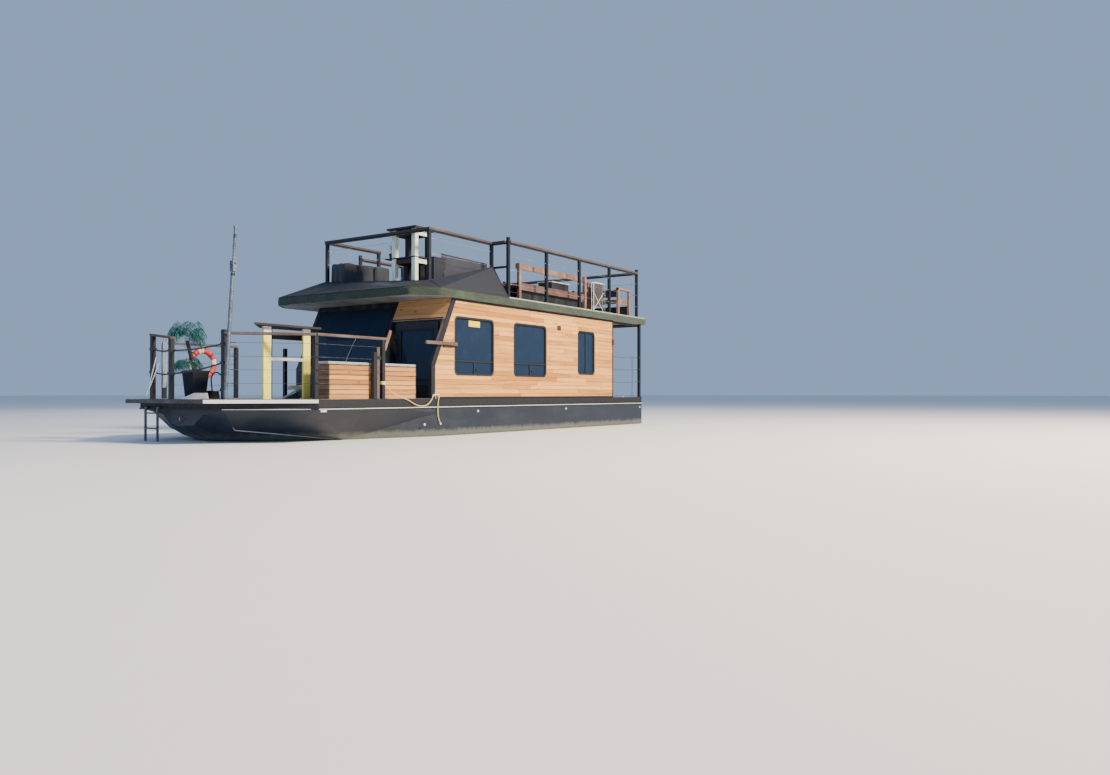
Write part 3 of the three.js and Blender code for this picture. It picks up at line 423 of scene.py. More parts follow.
@dataclass(frozen=True)
class Enamel(Finish):
    """Brushed enamel over metal or timber: faint orange peel, dust on what faces up, scuffs."""

    coat: str
    dust: str
    rough: float = 0.36

    def dress(self, mix: Coating) -> None:
        """Scuffs a few centimetres long and dust that gathers on level faces."""
        scuff = mix.mottle((14, 14, 9), 7.0, 0.66)
        up = mix.node("SeparateXYZ", {0: mix.node("NewGeometry").outputs["Normal"]}).outputs["Z"]
        level = mix.node("MapRange", span(up, (0.5, 0.0), (1.0, 0.45)))
        mix.colour = linear(self.coat)
        mix.layer(mix.node("Math", {0: level, 1: scuff}, operation="MULTIPLY"), self.dust)
        mix.patches(scuff, (0.66, 0.0), (0.74, 0.5), self.dust)
        peel = mix.mottle((160, 160, 160), 1.0)
        mix.close((scuff, (0.3, self.rough), (0.75, self.rough + 0.25)), (peel, 0.12, 0.5))


@dataclass(frozen=True)
class HullPaint(Finish):
    """Steel plate under old marine enamel: chalked, streaked, with a slimy grey-green band at the water."""

    coat: str

    def dress(self, mix: Coating) -> None:
        """Streaks run down; the grime band is 0.2 m high and breaks up along its top; the bottom is antifouled."""
        height = mix.node("SeparateXYZ", {0: mix.node("TexCoord").outputs["Object"]}).outputs["Z"]
        chalk = mix.mottle((1.3, 1.3, 3), 6.0, 0.62)
        rag = mix.mottle((7, 7, 2), 5.0, 0.65)
        ragged = mix.node("Math", {0: rag, 1: 0.16, 2: height}, operation="MULTIPLY_ADD")
        mix.colour = linear(self.coat)
        mix.patches(chalk, (0.42, 0.0), (0.75, 0.4), "333f4e")
        mix.patches(mix.mottle((18, 18, 0.9), 4.0), (0.60, 0.0), (0.80, 0.18), "485462")
        mix.patches(ragged, (0.15, 0.7), (0.22, 0.0), "666b66")
        mix.patches(ragged, (0.08, 0.9), (0.12, 0.0), "4d5238")
        mix.patches(height, (-0.04, 1.0), (-0.01, 0.0), "5b2f2a")
        mix.close((chalk, (0.3, 0.34), (0.7, 0.62)), (mix.mottle((1.6, 1.6, 2.2), 2.0), 6.0, 0.35))


@dataclass(frozen=True)
class Turf(Finish):
    """Short artificial-grass tape glued round the roof edge: mottled greens, matt, with paler patches."""

    deep: str
    fresh: str

    def dress(self, mix: Coating) -> None:
        """Blades a few millimetres long, drawn 12 mm wide so that they show, in patches half a metre long."""
        blades = mix.mottle((85, 85, 60), 2.0, 0.6)
        links = {0: mix.mottle((2.4, 2.4, 5), 5.0, 0.6), 1: 0.6, 2: blades}
        level = mix.node("Math", links, operation="MULTIPLY_ADD")
        stops = [(0.0, self.deep), (0.45, "243329"), (0.75, self.fresh), (1.0, "6c7c66")]
        mix.grade(level, (0.55, 0.0), (1.1, 1.0), stops)
        mix.close(0.95, (blades, 6.0, 0.9), Sheen_Weight=0.25)


@dataclass(frozen=True)
class Woven(Finish):
    """Coated polyester canvas: plain weave, soft sheen, paler in faded patches."""

    coat: str
    faded: str
    thread_mm: float = 7.0

    def dress(self, mix: Coating) -> None:
        """Real threads are 0.6 mm apart; they are drawn coarser, at the field's size, so that they show."""
        mix.colour = linear(self.coat)
        mix.patches(mix.mottle((2.2, 2.2, 2.2), 5.0), (0.4, 0.0), (0.7, 0.7), self.faded)
        links = {"Vector": mix.place([1000 / self.thread_mm] * 3), "Scale": 1.0}
        warp, weft = (mix.node("TexWave", links, bands_direction=d).outputs["Fac"] for d in "XZ")
        mix.close(0.82, (mix.node("Math", {0: warp, 1: weft}, operation="MAXIMUM"), 0.6, 0.5), Sheen_Weight=0.35)


@dataclass(frozen=True)
class Moulded(Finish):
    """Moulded plastic such as polyethylene or ABS: fine texture and sun-chalked patches."""

    coat: str
    chalk: str
    rough: float = 0.42

    def dress(self, mix: Coating) -> None:
        """A 1 mm leather-like texture, drawn at 4 mm, and pale chalked patches a hand wide."""
        patch = mix.mottle((7, 7, 5), 6.0, 0.62)
        mix.colour = linear(self.coat)
        mix.patches(patch, (0.45, 0.0), (0.75, 0.55), self.chalk)
        grit = mix.node("TexVoronoi", {"Vector": mix.place((240, 240, 240)), "Scale": 1.0})
        mix.close((patch, (0.3, self.rough), (0.7, self.rough + 0.2)), (grit, 0.25, 0.4))


@dataclass(frozen=True)
class Galvanised(Finish):
    """Hot-dip zinc on steel, or bare stainless: spangle, dull grey bloom, a few darker runs."""

    bright: str
    dull: str
    rough: float = 0.34

    def dress(self, mix: Coating) -> None:
        """Spangles are 15 mm across."""
        cells = mix.node("TexVoronoi", {"Vector": mix.place((66, 66, 66)), "Scale": 1.0})
        grey = mix.node("SeparateColor", {0: cells.outputs["Color"]})
        bloom = mix.mottle((9, 9, 4), 5.0)
        level = mix.node("Math", {0: grey, 1: 0.35, 2: bloom}, operation="MULTIPLY_ADD")
        mix.grade(level, (0.4, 0.0), (0.9, 1.0), [(0.0, self.dull), (1.0, self.bright)])
        mix.close((bloom, (0.3, self.rough), (0.7, self.rough + 0.25)), Metallic=0.85)


@dataclass(frozen=True)
class TintedGlass(Finish):
    """Float glass behind dark film: almost black, mirror-smooth, with faint rain spots."""

    tint: str

    def dress(self, mix: Coating) -> None:
        """Soft sheet-glass waviness and faint smears."""
        smear = mix.mottle((5, 5, 3), 5.0, 0.6)
        mix.colour = linear(self.tint)
        mix.patches(smear, (0.5, 0.0), (0.8, 0.35), "2f3f55")
        wave = mix.mottle((1.4, 1.4, 1.4), 1.0)
        mix.close((smear, (0.35, 0.03), (0.75, 0.1)), (wave, 3.0, 0.25), IOR=1.42, Specular_IOR_Level=0.3)


@dataclass(frozen=True)
class NonSkid(Finish):
    """Deck paint with sand in it: matt, gritty, worn paler in patches."""

    coat: str
    worn: str

    def dress(self, mix: Coating) -> None:
        """Sand grains of 1 mm are drawn 5 mm wide so that they show."""
        grit = mix.mottle((200, 200, 200), 2.0)
        mix.colour = linear(self.coat)
        mix.patches(mix.mottle((1.7, 2.3, 2), 6.0, 0.62), (0.42, 0.0), (0.66, 0.8), self.worn)
        mix.patches(grit, (0.55, 0.0), (0.62, 0.25), "2c3033")
        mix.close(0.88, (grit, 0.9, 0.6))


@dataclass(frozen=True)
class LaidRope(Finish):
    """Three-strand polypropylene rope: hairy, slightly glossy fibres along the lay."""

    fibre: str
    shade: str

    def dress(self, mix: Coating) -> None:
        """Fibres are drawn 3 mm apart."""
        hair = mix.mottle((300, 300, 300), 3.0)
        level = mix.node("Math", {0: hair, 1: 0.5, 2: mix.mottle((12, 12, 12), 4.0)}, operation="MULTIPLY_ADD")
        mix.grade(level, (0.45, 0.0), (0.9, 1.0), [(0.0, self.shade), (0.6, self.fibre), (1.0, self.fibre)])
        mix.close(0.68, (hair, 0.5, 0.6), Sheen_Weight=0.2)


@dataclass(frozen=True)
class Frond(Finish):
    """Polyester palm leaf: green with paler tips."""

    leaf: str
    tip: str

    def dress(self, mix: Coating) -> None:
        """Leaf tone by attribute, with blotches 3 cm across."""
        tone = mix.node("Attribute", attribute_name="tone").outputs["Fac"]
        blotch = mix.mottle((30, 30, 30), 4.0)
        level = mix.node("Math", {0: tone, 1: 0.8, 2: blotch}, operation="MULTIPLY_ADD")
        mix.grade(level, (0.3, 0.0), (1.2, 1.0), [(0.0, "103b2c"), (0.5, self.leaf), (1.0, self.tip)])
        mix.close(0.5, (blotch, 0.6, 0.4))


@dataclass(frozen=True)
class StudioFloor(Finish):
    """Pale matt floor with the faintest unevenness."""

    def dress(self, mix: Coating) -> None:
        """Almost even."""
        mix.colour = linear("dcdee0")
        mix.layer(mix.mottle((0.2, 0.2, 0.2), 2.0), "e4e6e8")
        mix.close(0.9)


# The boat's finishes, by what they are
HULL = HullPaint("hull_enamel", "16212f")
DECK_BLACK = Enamel("deck_edge_enamel", "0f151f", "2e3744", 0.5)
DECK_TREAD = NonSkid("deck_paint", "555b60", "8d9092")
ROOF_TREAD = NonSkid("roof_paint", "7c8082", "a2a4a3")
BLACK = Enamel("black_enamel", "0e1520", "2a3443")
GREY_METAL = Enamel("grey_enamel", "5b646c", "8d9296")
WHITE = Enamel("white_enamel", "d8d8d2", "8f8e86", 0.4)
PALE_EDGE = Enamel("pale_edge_enamel", "eceae4", "bdbab2", 0.5)
ROOF_TRIM = Enamel("roof_trim", "8d9d95", "66736d")
# Pale grey standing for a painted highlight along the bow's chine
KNUCKLE_HIGHLIGHT = Enamel("knuckle_painted_highlight", "9aa1a8", "6c737b", 0.5)
TAN_EDGE = Enamel("tan_edge_enamel", "b08a62", "8c7458", 0.5)
ENGINE_GREY = Enamel("engine_enamel", "59626a", "3c4044", 0.5)
DARK_FRONT = PaintedTimber("navy_boards", "1a2130", "3c4350", Axis.Y)
YELLOW = PaintedTimber("yellow_paint", "f0e872", "a98a5c")
MINT = PaintedTimber("mint_paint", "d3e8d6", "8f9a86")
SIDE_PINE = StainedPine("side_pine", "e6ae62", "ac7232")
CROSS_PINE = StainedPine("cross_pine", "d6a672", "a5764a", Axis.Y)
SEAT_PINE = StainedPine("seat_pine", "cf9a5c", "986636")
# The seat boxes' end boards: the seat pine drawn darker and greyer as painted shade
SEAT_PINE_SHADED = StainedPine("seat_pine_painted_shade", "8f7558", "5f4a37", Axis.Y)
JOINT_WOOD = WeatheredWood("joint_wood", "5e4229", "452c16")
RAIL_WOOD = WeatheredWood("rail_wood", "675c5a", "57463f")
RAIL_WOOD_CROSS = WeatheredWood("rail_wood_cross", "5d5353", "4c3e39", Axis.Y)
# The fly rail's front cap: the rail wood drawn dark and bluish as painted shade
FLY_WOOD_SHADED = WeatheredWood("fly_front_wood", "2a313f", "2f2c33", Axis.Y)
EDGE_WOOD = WeatheredWood("edge_wood", "4b5158", "3f3c3a", Axis.Y)
UPRIGHT_WOOD = WeatheredWood("upright_wood", "8a7466", "785545", Axis.Z)
SEAT_WOOD = WeatheredWood("seat_wood", "665250", "583d37")
FLY_WOOD = WeatheredWood("fly_wood", "4d4546", "453732")
DARK_WOOD = WeatheredWood("dark_wood", "262a31", "221f22")
GLASS = TintedGlass("tinted_glass", "1d2c42")
RUBBER = Moulded("black_rubber", "0f1114", "2a2d31", 0.6)
PLASTIC = Moulded("dark_polyethylene", "14171b", "343a42")
PALE_PLASTIC = Moulded("pale_board", "b9bcb6", "d6d7d2", 0.5)
YELLOW_PLATE = Moulded("yellow_plate", "ecd21c", "e8d43c")
BROWN_PLASTIC = Moulded("brown_plastic", "4a2c20", "6b4a3a")
RED_FOAM = Moulded("red_foam", "c22a26", "d96a5c", 0.55)
WHITE_FOAM = Moulded("white_foam", "d9d6cf", "eeece6", 0.55)
MEMBRANE = Moulded("charcoal_membrane", "101927", "1f2b3d", 0.7)
LID = Moulded("grey_lid", "969a99", "b4b7b4", 0.5)
BLOSSOM = Moulded("blossom", "d98a9a", "f0dcdc", 0.7)
NAVY = Woven("navy_canvas", "0c1524", "1a2740")
COVER = Woven("dark_cover", "0f1624", "232f42")
MESH = Woven("chair_mesh", "101318", "22272f")
PALE_CLOTH = Woven("pale_cloth", "cdd2d6", "e6e8ea")
ZINC = Galvanised("galvanised", "aab4bc", "6f7a83")
MAST_ZINC = Galvanised("mast_zinc", "7f8b98", "4f5a66", 0.45)
DARK_STEEL = Galvanised("dark_steel", "5b656e", "2f373e")
STAINLESS = Galvanised("stainless", "c3c9ce", "8f979e", 0.22)
BRONZE = Galvanised("bronze", "b08a4a", "6e5530", 0.3)
GRASS_EDGE = Turf("grass_tape", "101a16", "2f4a3c")
YELLOW_ROPE = LaidRope("yellow_rope", "ead98c", "b39a4c")
BLACK_ROPE = LaidRope("black_rope", "1c2227", "0c0e11")
LEAF = Frond("palm_leaf", "104548", "2b7377")
FLOOR = StudioFloor("studio_floor")


def circle(count: int) -> list[float]:
    """Gives that many angles evenly round a circle."""
    return [2 * math.pi * i / count for i in range(count)]


def sagging(start: Point, end: Point, sag: float, steps: int) -> list[Vector]:
    """Gives points along a line that sags in its middle."""
    a, b = Vector(start), Vector(end)
    points = [a.lerp(b, i / steps) for i in range(steps + 1)]
    for i, point in enumerate(points):
        point.z -= 4 * sag * (i / steps) * (1 - i / steps)
    return points


def rounded(low: Pair, high: Pair, radius: float, steps: int = 6) -> list[Pair]:
    """Gives the outline of a rectangle with round corners, anticlockwise."""
    corners = [(high[0] - radius, high[1] - radius), (low[0] + radius, high[1] - radius),
               (low[0] + radius, low[1] + radius), (high[0] - radius, low[1] + radius)]
    points = []
    for quarter, (x, y) in enumerate(corners):
        for step in range(steps + 1):
            turn = math.pi / 2 * (quarter + step / steps)
            points.append((x + radius * math.cos(turn), y + radius * math.sin(turn)))
    return points


def square_turn(x: float, y: float, z: float, half: float, corner: float = 0.02) -> list[Point]:
    """Gives a level turn with round corners about an upright square post."""
    return [(x + px, y + py, z) for px, py in rounded((-half, -half), (half, half), corner, 4)]


def front_x(z: float) -> float:
    """Says where the cabin's front plane is at a height: upright below, raked back above."""
    return CABIN_FRONT_X - max(0.0, z - RAKE_START_Z) * RAKE


class Shape:
    """Vertices and faces gathered for one mesh, each face with its finish number and tone."""

    def __init__(self, tone: float = 0.5) -> None:
        """Starts empty, with the tone of the first faces."""
        self.verts: list[tuple[float, float, float]] = []
        self.faces: list[tuple[int, ...]] = []
        self.marks: list[int] = []
        self.tones: list[float] = []
        self.mark = 0
        self.tone = tone

    def add(self, verts: Iterable[Point], faces: Iterable[Sequence[int]]) -> "Shape":
        """Adds points and the faces between them, and gives the shape back."""
        base = len(self.verts)
        self.verts.extend((float(v[0]), float(v[1]), float(v[2])) for v in verts)
        for face in faces:
            self.faces.append(tuple(base + i for i in face))
            self.marks.append(self.mark)
            self.tones.append(self.tone)
        return self

    def box(self, one: Point, other: Point) -> "Shape":
        """Adds a block between two opposite corners."""
        xs, ys, zs = (sorted(ends) for ends in zip(one, other))
        corners = [(x, y, z) for x in xs for y in ys for z in zs]
        return self.add(corners, [(0, 1, 3, 2), (4, 6, 7, 5), (0, 4, 5, 1), (2, 3, 7, 6), (0, 2, 6, 4), (1, 5, 7, 3)])

    def post(self, x: float, y: float, half: float, low: float, high: float) -> "Shape":
        """Adds an upright square post by its middle and half its width."""
        return self.box((x - half, y - half, low), (x + half, y + half, high))

    def beam(self, start: Point, end: Point, width: float, height: float, up: Point = (0, 0, 1)) -> "Shape":
        """Adds a square bar between two points, its width across the upward direction and its height along it."""
        a, b = Vector(start), Vector(end)
        run = (b - a).normalized()
        side = Vector(up).cross(run).normalized() * (width / 2)
        rise = run.cross(side).normalized() * (height / 2)
        points = [p + side * s + rise * r for p in (a, b) for s, r in [(-1, -1), (1, -1), (1, 1), (-1, 1)]]
        sides = [(i, (i + 1) % 4, 4 + (i + 1) % 4, 4 + i) for i in range(4)]
        return self.add(points, [(3, 2, 1, 0), (4, 5, 6, 7), *sides])

    def prism(self, outline: Sequence[Pair], axis: Axis, low: float, high: float) -> "Shape":
        """Adds an outline carried along an axis.

        Args:
            outline: Points in the plane across the axis, in the order x, y, z without that axis.
            axis: The direction it is carried in.
            low: Where it starts.
            high: Where it ends.

        Returns:
            The shape.
        """
        count, at = len(outline), axis.value
        points = [[*p[:at], level, *p[at:]] for level in (low, high) for p in outline]
        sides = [(i, (i + 1) % count, count + (i + 1) % count, count + i) for i in range(count)]
        return self.add(points, [tuple(range(count))[::-1], tuple(range(count, 2 * count)), *sides])

    def skin(self, rings: Sequence[Sequence[Point]], closed: bool = True, caps: bool = True) -> "Shape":
        """Skins like rings of points, closed round or open, with flat caps where asked."""
        count = len(rings[0])
        faces = []
        for row in range(len(rings) - 1):
            for i in range(count if closed else count - 1):
                a, b = row * count + i, row * count + (i + 1) % count
                faces.append((a, b, b + count, a + count))
        if caps:
            last = (len(rings) - 1) * count
            faces += [tuple(range(count))[::-1], tuple(range(last, last + count))]
        return self.add([p for ring in rings for p in ring], faces)

    def sheet(self, rows: Sequence[Sequence[Point]]) -> "Shape":
        """Adds an open surface over rows of points."""
        return self.skin(rows, closed=False, caps=False)

    def tube(self, path: Sequence[Point], radius: float | Sequence[float], sides: int = 10,
             loop: bool = False) -> "Shape":
        """Sweeps a round section along a path.

        Args:
            path: The points it follows.
            radius: One radius, or one for each point.
            sides: Sides of the section.
            loop: Whether the path closes on itself.

        Returns:
            The shape.
        """
        points = [Vector(p) for p in path]
        count = len(points)
        radii = [radius] * count if isinstance(radius, (int, float)) else list(radius)
        rings = []
        normal = None
        for i, point in enumerate(points):
            before = points[i - 1] if i > 0 or loop else point
            after = points[(i + 1) % count] if i + 1 < count or loop else point
            tangent = (after - before).normalized()
            if normal is None:
                other = Vector((0, 0, 1)) if abs(tangent.z) < 0.9 else Vector((1, 0, 0))
                normal = tangent.cross(other).normalized()
            normal = (normal - tangent * normal.dot(tangent)).normalized()
            across = tangent.cross(normal)
            rings.append([point + (normal * math.cos(t) + across * math.sin(t)) * radii[i] for t in circle(sides)])
        if loop:
            rings.append(rings[0])
        return self.skin(rings, caps=not loop)

    def lathe(self, profile: Sequence[Pair], centre: Point, way: Point = (0, 0, 1), sides: int = 24) -> "Shape":
        """Turns a profile round an axis through a centre.

        Args:
            profile: Radius and height pairs. The foot is closed at height 0 and the top at the last height,
                unless the profile ends there with a radius of 0.
            centre: The point at height 0.
            way: The axis's direction.
            sides: Sides of the turned form.

        Returns:
            The shape.
        """
        rows = list(profile)
        rows = rows if rows[0][0] == 0 else [(0.0, 0.0), *rows]
        rows = rows if rows[-1][0] == 0 else [*rows, (0.0, rows[-1][1])]
        turn = Vector((0, 0, 1)).rotation_difference(Vector(way).normalized())
        return self.skin([[Vector(centre) + turn @ Vector((math.cos(t) * radius, math.sin(t) * radius, height))
                           for t in circle(sides)] for radius, height in rows])

    def rope(self, path: Sequence[Point], radius: float, lay: float) -> "Shape":
        """Adds a laid rope: three strands wound round a path, one turn each lay length."""
        points = [Vector(p) for p in path]
        travelled = 0.0
        strands: list[list[Vector]] = [[], [], []]
        normal = None
        for i, point in enumerate(points):
            tangent = (points[min(i + 1, len(points) - 1)] - points[max(i - 1, 0)]).normalized()
            normal = normal or tangent.orthogonal().normalized()
            normal = (normal - tangent * normal.dot(tangent)).normalized()
            across = tangent.cross(normal)
            travelled += (point - points[i - 1]).length if i else 0.0
            for s, strand in enumerate(strands):
                turn = 2 * math.pi * (travelled / lay + s / len(strands))
                strand.append(point + (normal * math.cos(turn) + across * math.sin(turn)) * radius * 0.5)
        for strand in strands:
            self.tube(strand, radius * 0.5, 6)
        return self

    def put(self, name: str, finishes: Sequence[Finish], sharp: float = 32.0) -> bpy.types.Object:
        """Puts the faces in the scene as one object, turned outward and shaded smooth below an angle."""
        made = bpy.data.meshes.new(name)
        made.from_pydata(self.verts, [], self.faces)
        for finish in finishes:
            made.materials.append(finish.material())
        made.polygons.foreach_set("material_index", self.marks)
        made.attributes.new("tone", "FLOAT", "FACE").data.foreach_set("value", self.tones)
        work = bmesh.new()
        work.from_mesh(made)
        bmesh.ops.remove_doubles(work, verts=work.verts, dist=1e-6)
        bmesh.ops.recalc_face_normals(work, faces=work.faces)
        work.to_mesh(made)
        work.free()
        made.shade_smooth()
        made.set_sharp_from_angle(angle=math.radians(sharp))
        placed = bpy.data.objects.new(name, made)
        bpy.context.scene.collection.objects.link(placed)
        return placed

    def piece(self, name: str, *finishes: Finish, slot: str, bevel: float = 0.0, stands_for: str = "",
              sharp: float = 32.0, body: str = "boat", segments: int = 2) -> bpy.types.Object:
        """Makes one piece of the boat from the shape.

        Args:
            name: Its name.
            finishes: Its finishes, by finish number.
            slot: The record's material slot.
            bevel: Width of its rounded edges.
            stands_for: Frame nodes that it takes the place of, with spaces between.
            sharp: Angle above which an edge stays sharp.
            body: The body it moves with.
            segments: Steps of the rounded edge.

        Returns:
            The object.
        """
        made = self.put(name, finishes, sharp)
        if bevel:
            edge = made.modifiers.new("edge", "BEVEL")
            edge.width = bevel
            edge.segments = segments
            edge.limit_method = "ANGLE"
            edge.angle_limit = math.radians(sharp)
            edge.harden_normals = True
        if stands_for:
            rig.replaces(made, *stands_for.split())
        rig.slot(made, slot)
        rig.ride(made, body)
        log.info("made %s on %s", name, body)
        return made


def thicken(made: bpy.types.Object, name: str, thickness: float) -> bpy.types.Modifier:
    """Gives an open surface a thickness."""
    step = made.modifiers.new(name, "SOLIDIFY")
    step.thickness = thickness
    return step


def cut(target: bpy.types.Object, cutter: Shape) -> None:
    """Cuts a shape out of a piece for good, before its other modifiers."""
    tool = cutter.put("cutter", [RUBBER])
    others = list(target.modifiers)
    step = target.modifiers.new("cut", "BOOLEAN")
    step.operation = "DIFFERENCE"
    step.object = tool
    step.solver = "EXACT"
    for other in others:
        other.show_viewport = False
    depsgraph = bpy.context.evaluated_depsgraph_get()
    target.data = bpy.data.meshes.new_from_object(target.evaluated_get(depsgraph))
    target.modifiers.remove(step)
    for other in others:
        other.show_viewport = True
    bpy.data.objects.remove(tool)


def repaint(names: str, finish: Finish) -> None:
    """Gives frame nodes that stay in view their finish; spaces part the names."""
    for name in names.split():
        for place in frame["nodes"][name].material_slots:
            place.material = finish.material()


@dataclass
class Studio:
    """Floor, lights and the camera that looks from the photo's side."""

    eye: Point = (18.937, 12.077, 0.75)
    heading_deg: float = 33.4
    tilt_deg: float = 0.4
    lens: float = 27.89
    floor_half: float = 300.0
    key_from: Point = (3.6, 23.2, 16.9)

    def build(self) -> None:
        """Makes the camera, the floor, the background and the lights."""
        scene = bpy.context.scene
        lens = bpy.data.cameras.new("camera")
        lens.lens = self.lens
        lens.sensor_width = 36.0
        lens.clip_end = 900.0
        heading, tilt = math.radians(self.heading_deg), math.radians(self.tilt_deg)
        look = Vector((-math.cos(heading) * math.cos(tilt), -math.sin(heading) * math.cos(tilt), math.sin(tilt)))
        scene.camera = self.aim("camera", lens, self.eye, look)
        half = self.floor_half
        floor = Shape().add([(-half, -half, 0), (half, -half, 0), (half, half, 0), (-half, half, 0)], [(0, 1, 2, 3)])
        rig.stage(floor.put("floor", [FLOOR]))
        scene.world = bpy.data.worlds.new("studio")
        scene.world.use_nodes = True
        background = scene.world.node_tree.nodes["Background"]
        background.inputs["Color"].default_value = linear("a9c6ee")
        background.inputs["Strength"].default_value = 0.72
        self.light("key", self.key_from, (5.0, 0.0, 1.5), 5.0, 21000.0, "ffe7c6")
        self.light("fill", (26.0, 4.0, 9.0), (6.0, 0.0, 1.5), 9.0, 650.0, "b9d0ff")
        self.light("back", (-12.0, -20.0, 14.0), (4.0, 0.0, 1.5), 10.0, 1800.0, "eef3ff")

    @staticmethod
    def aim(name: str, data: bpy.types.ID, place: Point, look: Vector) -> bpy.types.Object:
        """Puts a camera or a light in its place, turned the way it looks."""
        made = bpy.data.objects.new(name, data)
        made.location = place
        made.rotation_mode = "QUATERNION"
        made.rotation_quaternion = look.to_track_quat("-Z", "Y")
        bpy.context.scene.collection.objects.link(made)
        return made

    def light(self, name: str, place: Point, target: Point, size: float, power: float, tint: str) -> None:
        """Adds one square area light that faces a target."""
        lamp = bpy.data.lights.new(name, "AREA")
        lamp.size = size
        lamp.energy = power
        lamp.color = linear(tint)[:3]
        self.aim(name, lamp, place, Vector(target) - Vector(place))


@dataclass
class MooringRope:
    """The yellow mooring rope: tied to the port rail post, draped to the cleat, its tail over the side."""

    radius: float = 0.008
    post_x: float = 8.78
    cleat: Pair = (7.48, 2.031)
    span: tuple[Point, ...] = (
        (8.795, 2.052, 0.912), (8.747, 2.056, 0.872), (8.640, 2.060, 0.790), (8.497, 2.062, 0.722),
        (8.360, 2.064, 0.678), (8.236, 2.066, 0.640), (8.150, 2.070, 0.602), (8.077, 2.075, 0.568),
        (7.985, 2.079, 0.543), (7.888, 2.080, 0.535), (7.800, 2.079, 0.549), (7.725, 2.075, 0.582),
        (7.660, 2.070, 0.634), (7.618, 2.064, 0.682), (7.598, 2.056, 0.710), (7.575, 2.042, 0.726),
        (7.535, 2.032, 0.7234), (7.490, 2.031, 0.7226),
    )
    tail: tuple[Point, ...] = (
        (7.470, 2.031, 0.7233), (7.452, 2.040, 0.7226), (7.446, 2.056, 0.712), (7.456, 2.068, 0.682),
        (7.474, 2.072, 0.640), (7.488, 2.076, 0.590), (7.496, 2.079, 0.540), (7.498, 2.080, 0.490),
        (7.496, 2.078, 0.430), (7.484, 2.074, 0.360), (7.455, 2.070, 0.290), (7.412, 2.066, 0.216),
    )

    @staticmethod
    def smooth(points: Sequence[Point], steps: int = 8) -> list[Vector]:
        """Gives a centripetal Catmull-Rom line through the points, with that many steps between neighbours."""
        anchors = [Vector(p) for p in points]
        anchors = [anchors[0] * 2 - anchors[1], *anchors, anchors[-1] * 2 - anchors[-2]]
        line = []
        for p0, p1, p2, p3 in zip(anchors, anchors[1:], anchors[2:], anchors[3:]):
            t1 = (p1 - p0).length ** 0.5
            t2 = t1 + (p2 - p1).length ** 0.5
            t3 = t2 + (p3 - p2).length ** 0.5
            for step in range(steps):
                t = t1 + (t2 - t1) * step / steps
                a1 = p0.lerp(p1, t / t1)
                a2 = p1.lerp(p2, (t - t1) / (t2 - t1))
                a3 = p2.lerp(p3, (t - t2) / (t3 - t2))
                line.append(a1.lerp(a2, t / t2).lerp(a2.lerp(a3, (t - t1) / (t3 - t1)), (t - t1) / (t2 - t1)))
        return [*line, anchors[-2]]

    def build(self) -> None:
        """Makes both cords, the hitch on the post, the turns on the cleat and the stopper knot."""
        knot = self.stopper()
        rows = [("mooring_line", self.span, "object", []), ("mooring_tail", self.tail, "knot", [knot])]
        for name, points, far_end, others in rows:
            line = self.smooth(points)
            shape = Shape().rope(line, self.radius, 7 * self.radius)
            made = shape.piece(f"{name}_rope", YELLOW_ROPE, slot="yellow_rope", stands_for=name, sharp=60)
            length = sum((b - a).length for a, b in zip(line, line[1:]))
            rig.cord(made, exit=line[0], length=length, diameter=2 * self.radius, far_end=far_end,
                    stiffness="limp", lay="hanging", path=line, with_pieces=others)
        self.hitches()

    def stopper(self) -> bpy.types.Object:
        """Makes the overhand knot at the end of the tail: a trefoil."""
        loop = [Vector(self.tail[-1]) + 0.006 * Vector((math.sin(t) + 2 * math.sin(2 * t), -math.sin(3 * t),
                                                        math.cos(t) - 2 * math.cos(2 * t))) for t in circle(36)]
        return Shape().tube(loop, 0.0065, 8, loop=True).piece("tail_knot", YELLOW_ROPE, slot="yellow_rope", sharp=60)

    def hitches(self) -> None:
        """Makes the round turns on the rail post and the figure-of-eight turns on the cleat."""
        shape = Shape()
        for level in (0.905, 0.922, 0.939):
            ring = enumerate(square_turn(self.post_x, SIDE_Y, level, POST / 2 + self.radius))
            shape.tube([(x, y, z + 0.004 * math.sin(3 * i)) for i, (x, y, z) in ring], self.radius, 8, loop=True)
        x, y = self.cleat
        for turn in range(3):
            shape.tube([(x + 0.058 * math.cos(t), y + 0.013 * math.sin(2 * t), 0.724 + 0.007 * turn)
                        for t in circle(40)], self.radius * 0.9, 8, loop=True)
        shape.piece("mooring_hitches", YELLOW_ROPE, slot="yellow_rope", sharp=60)


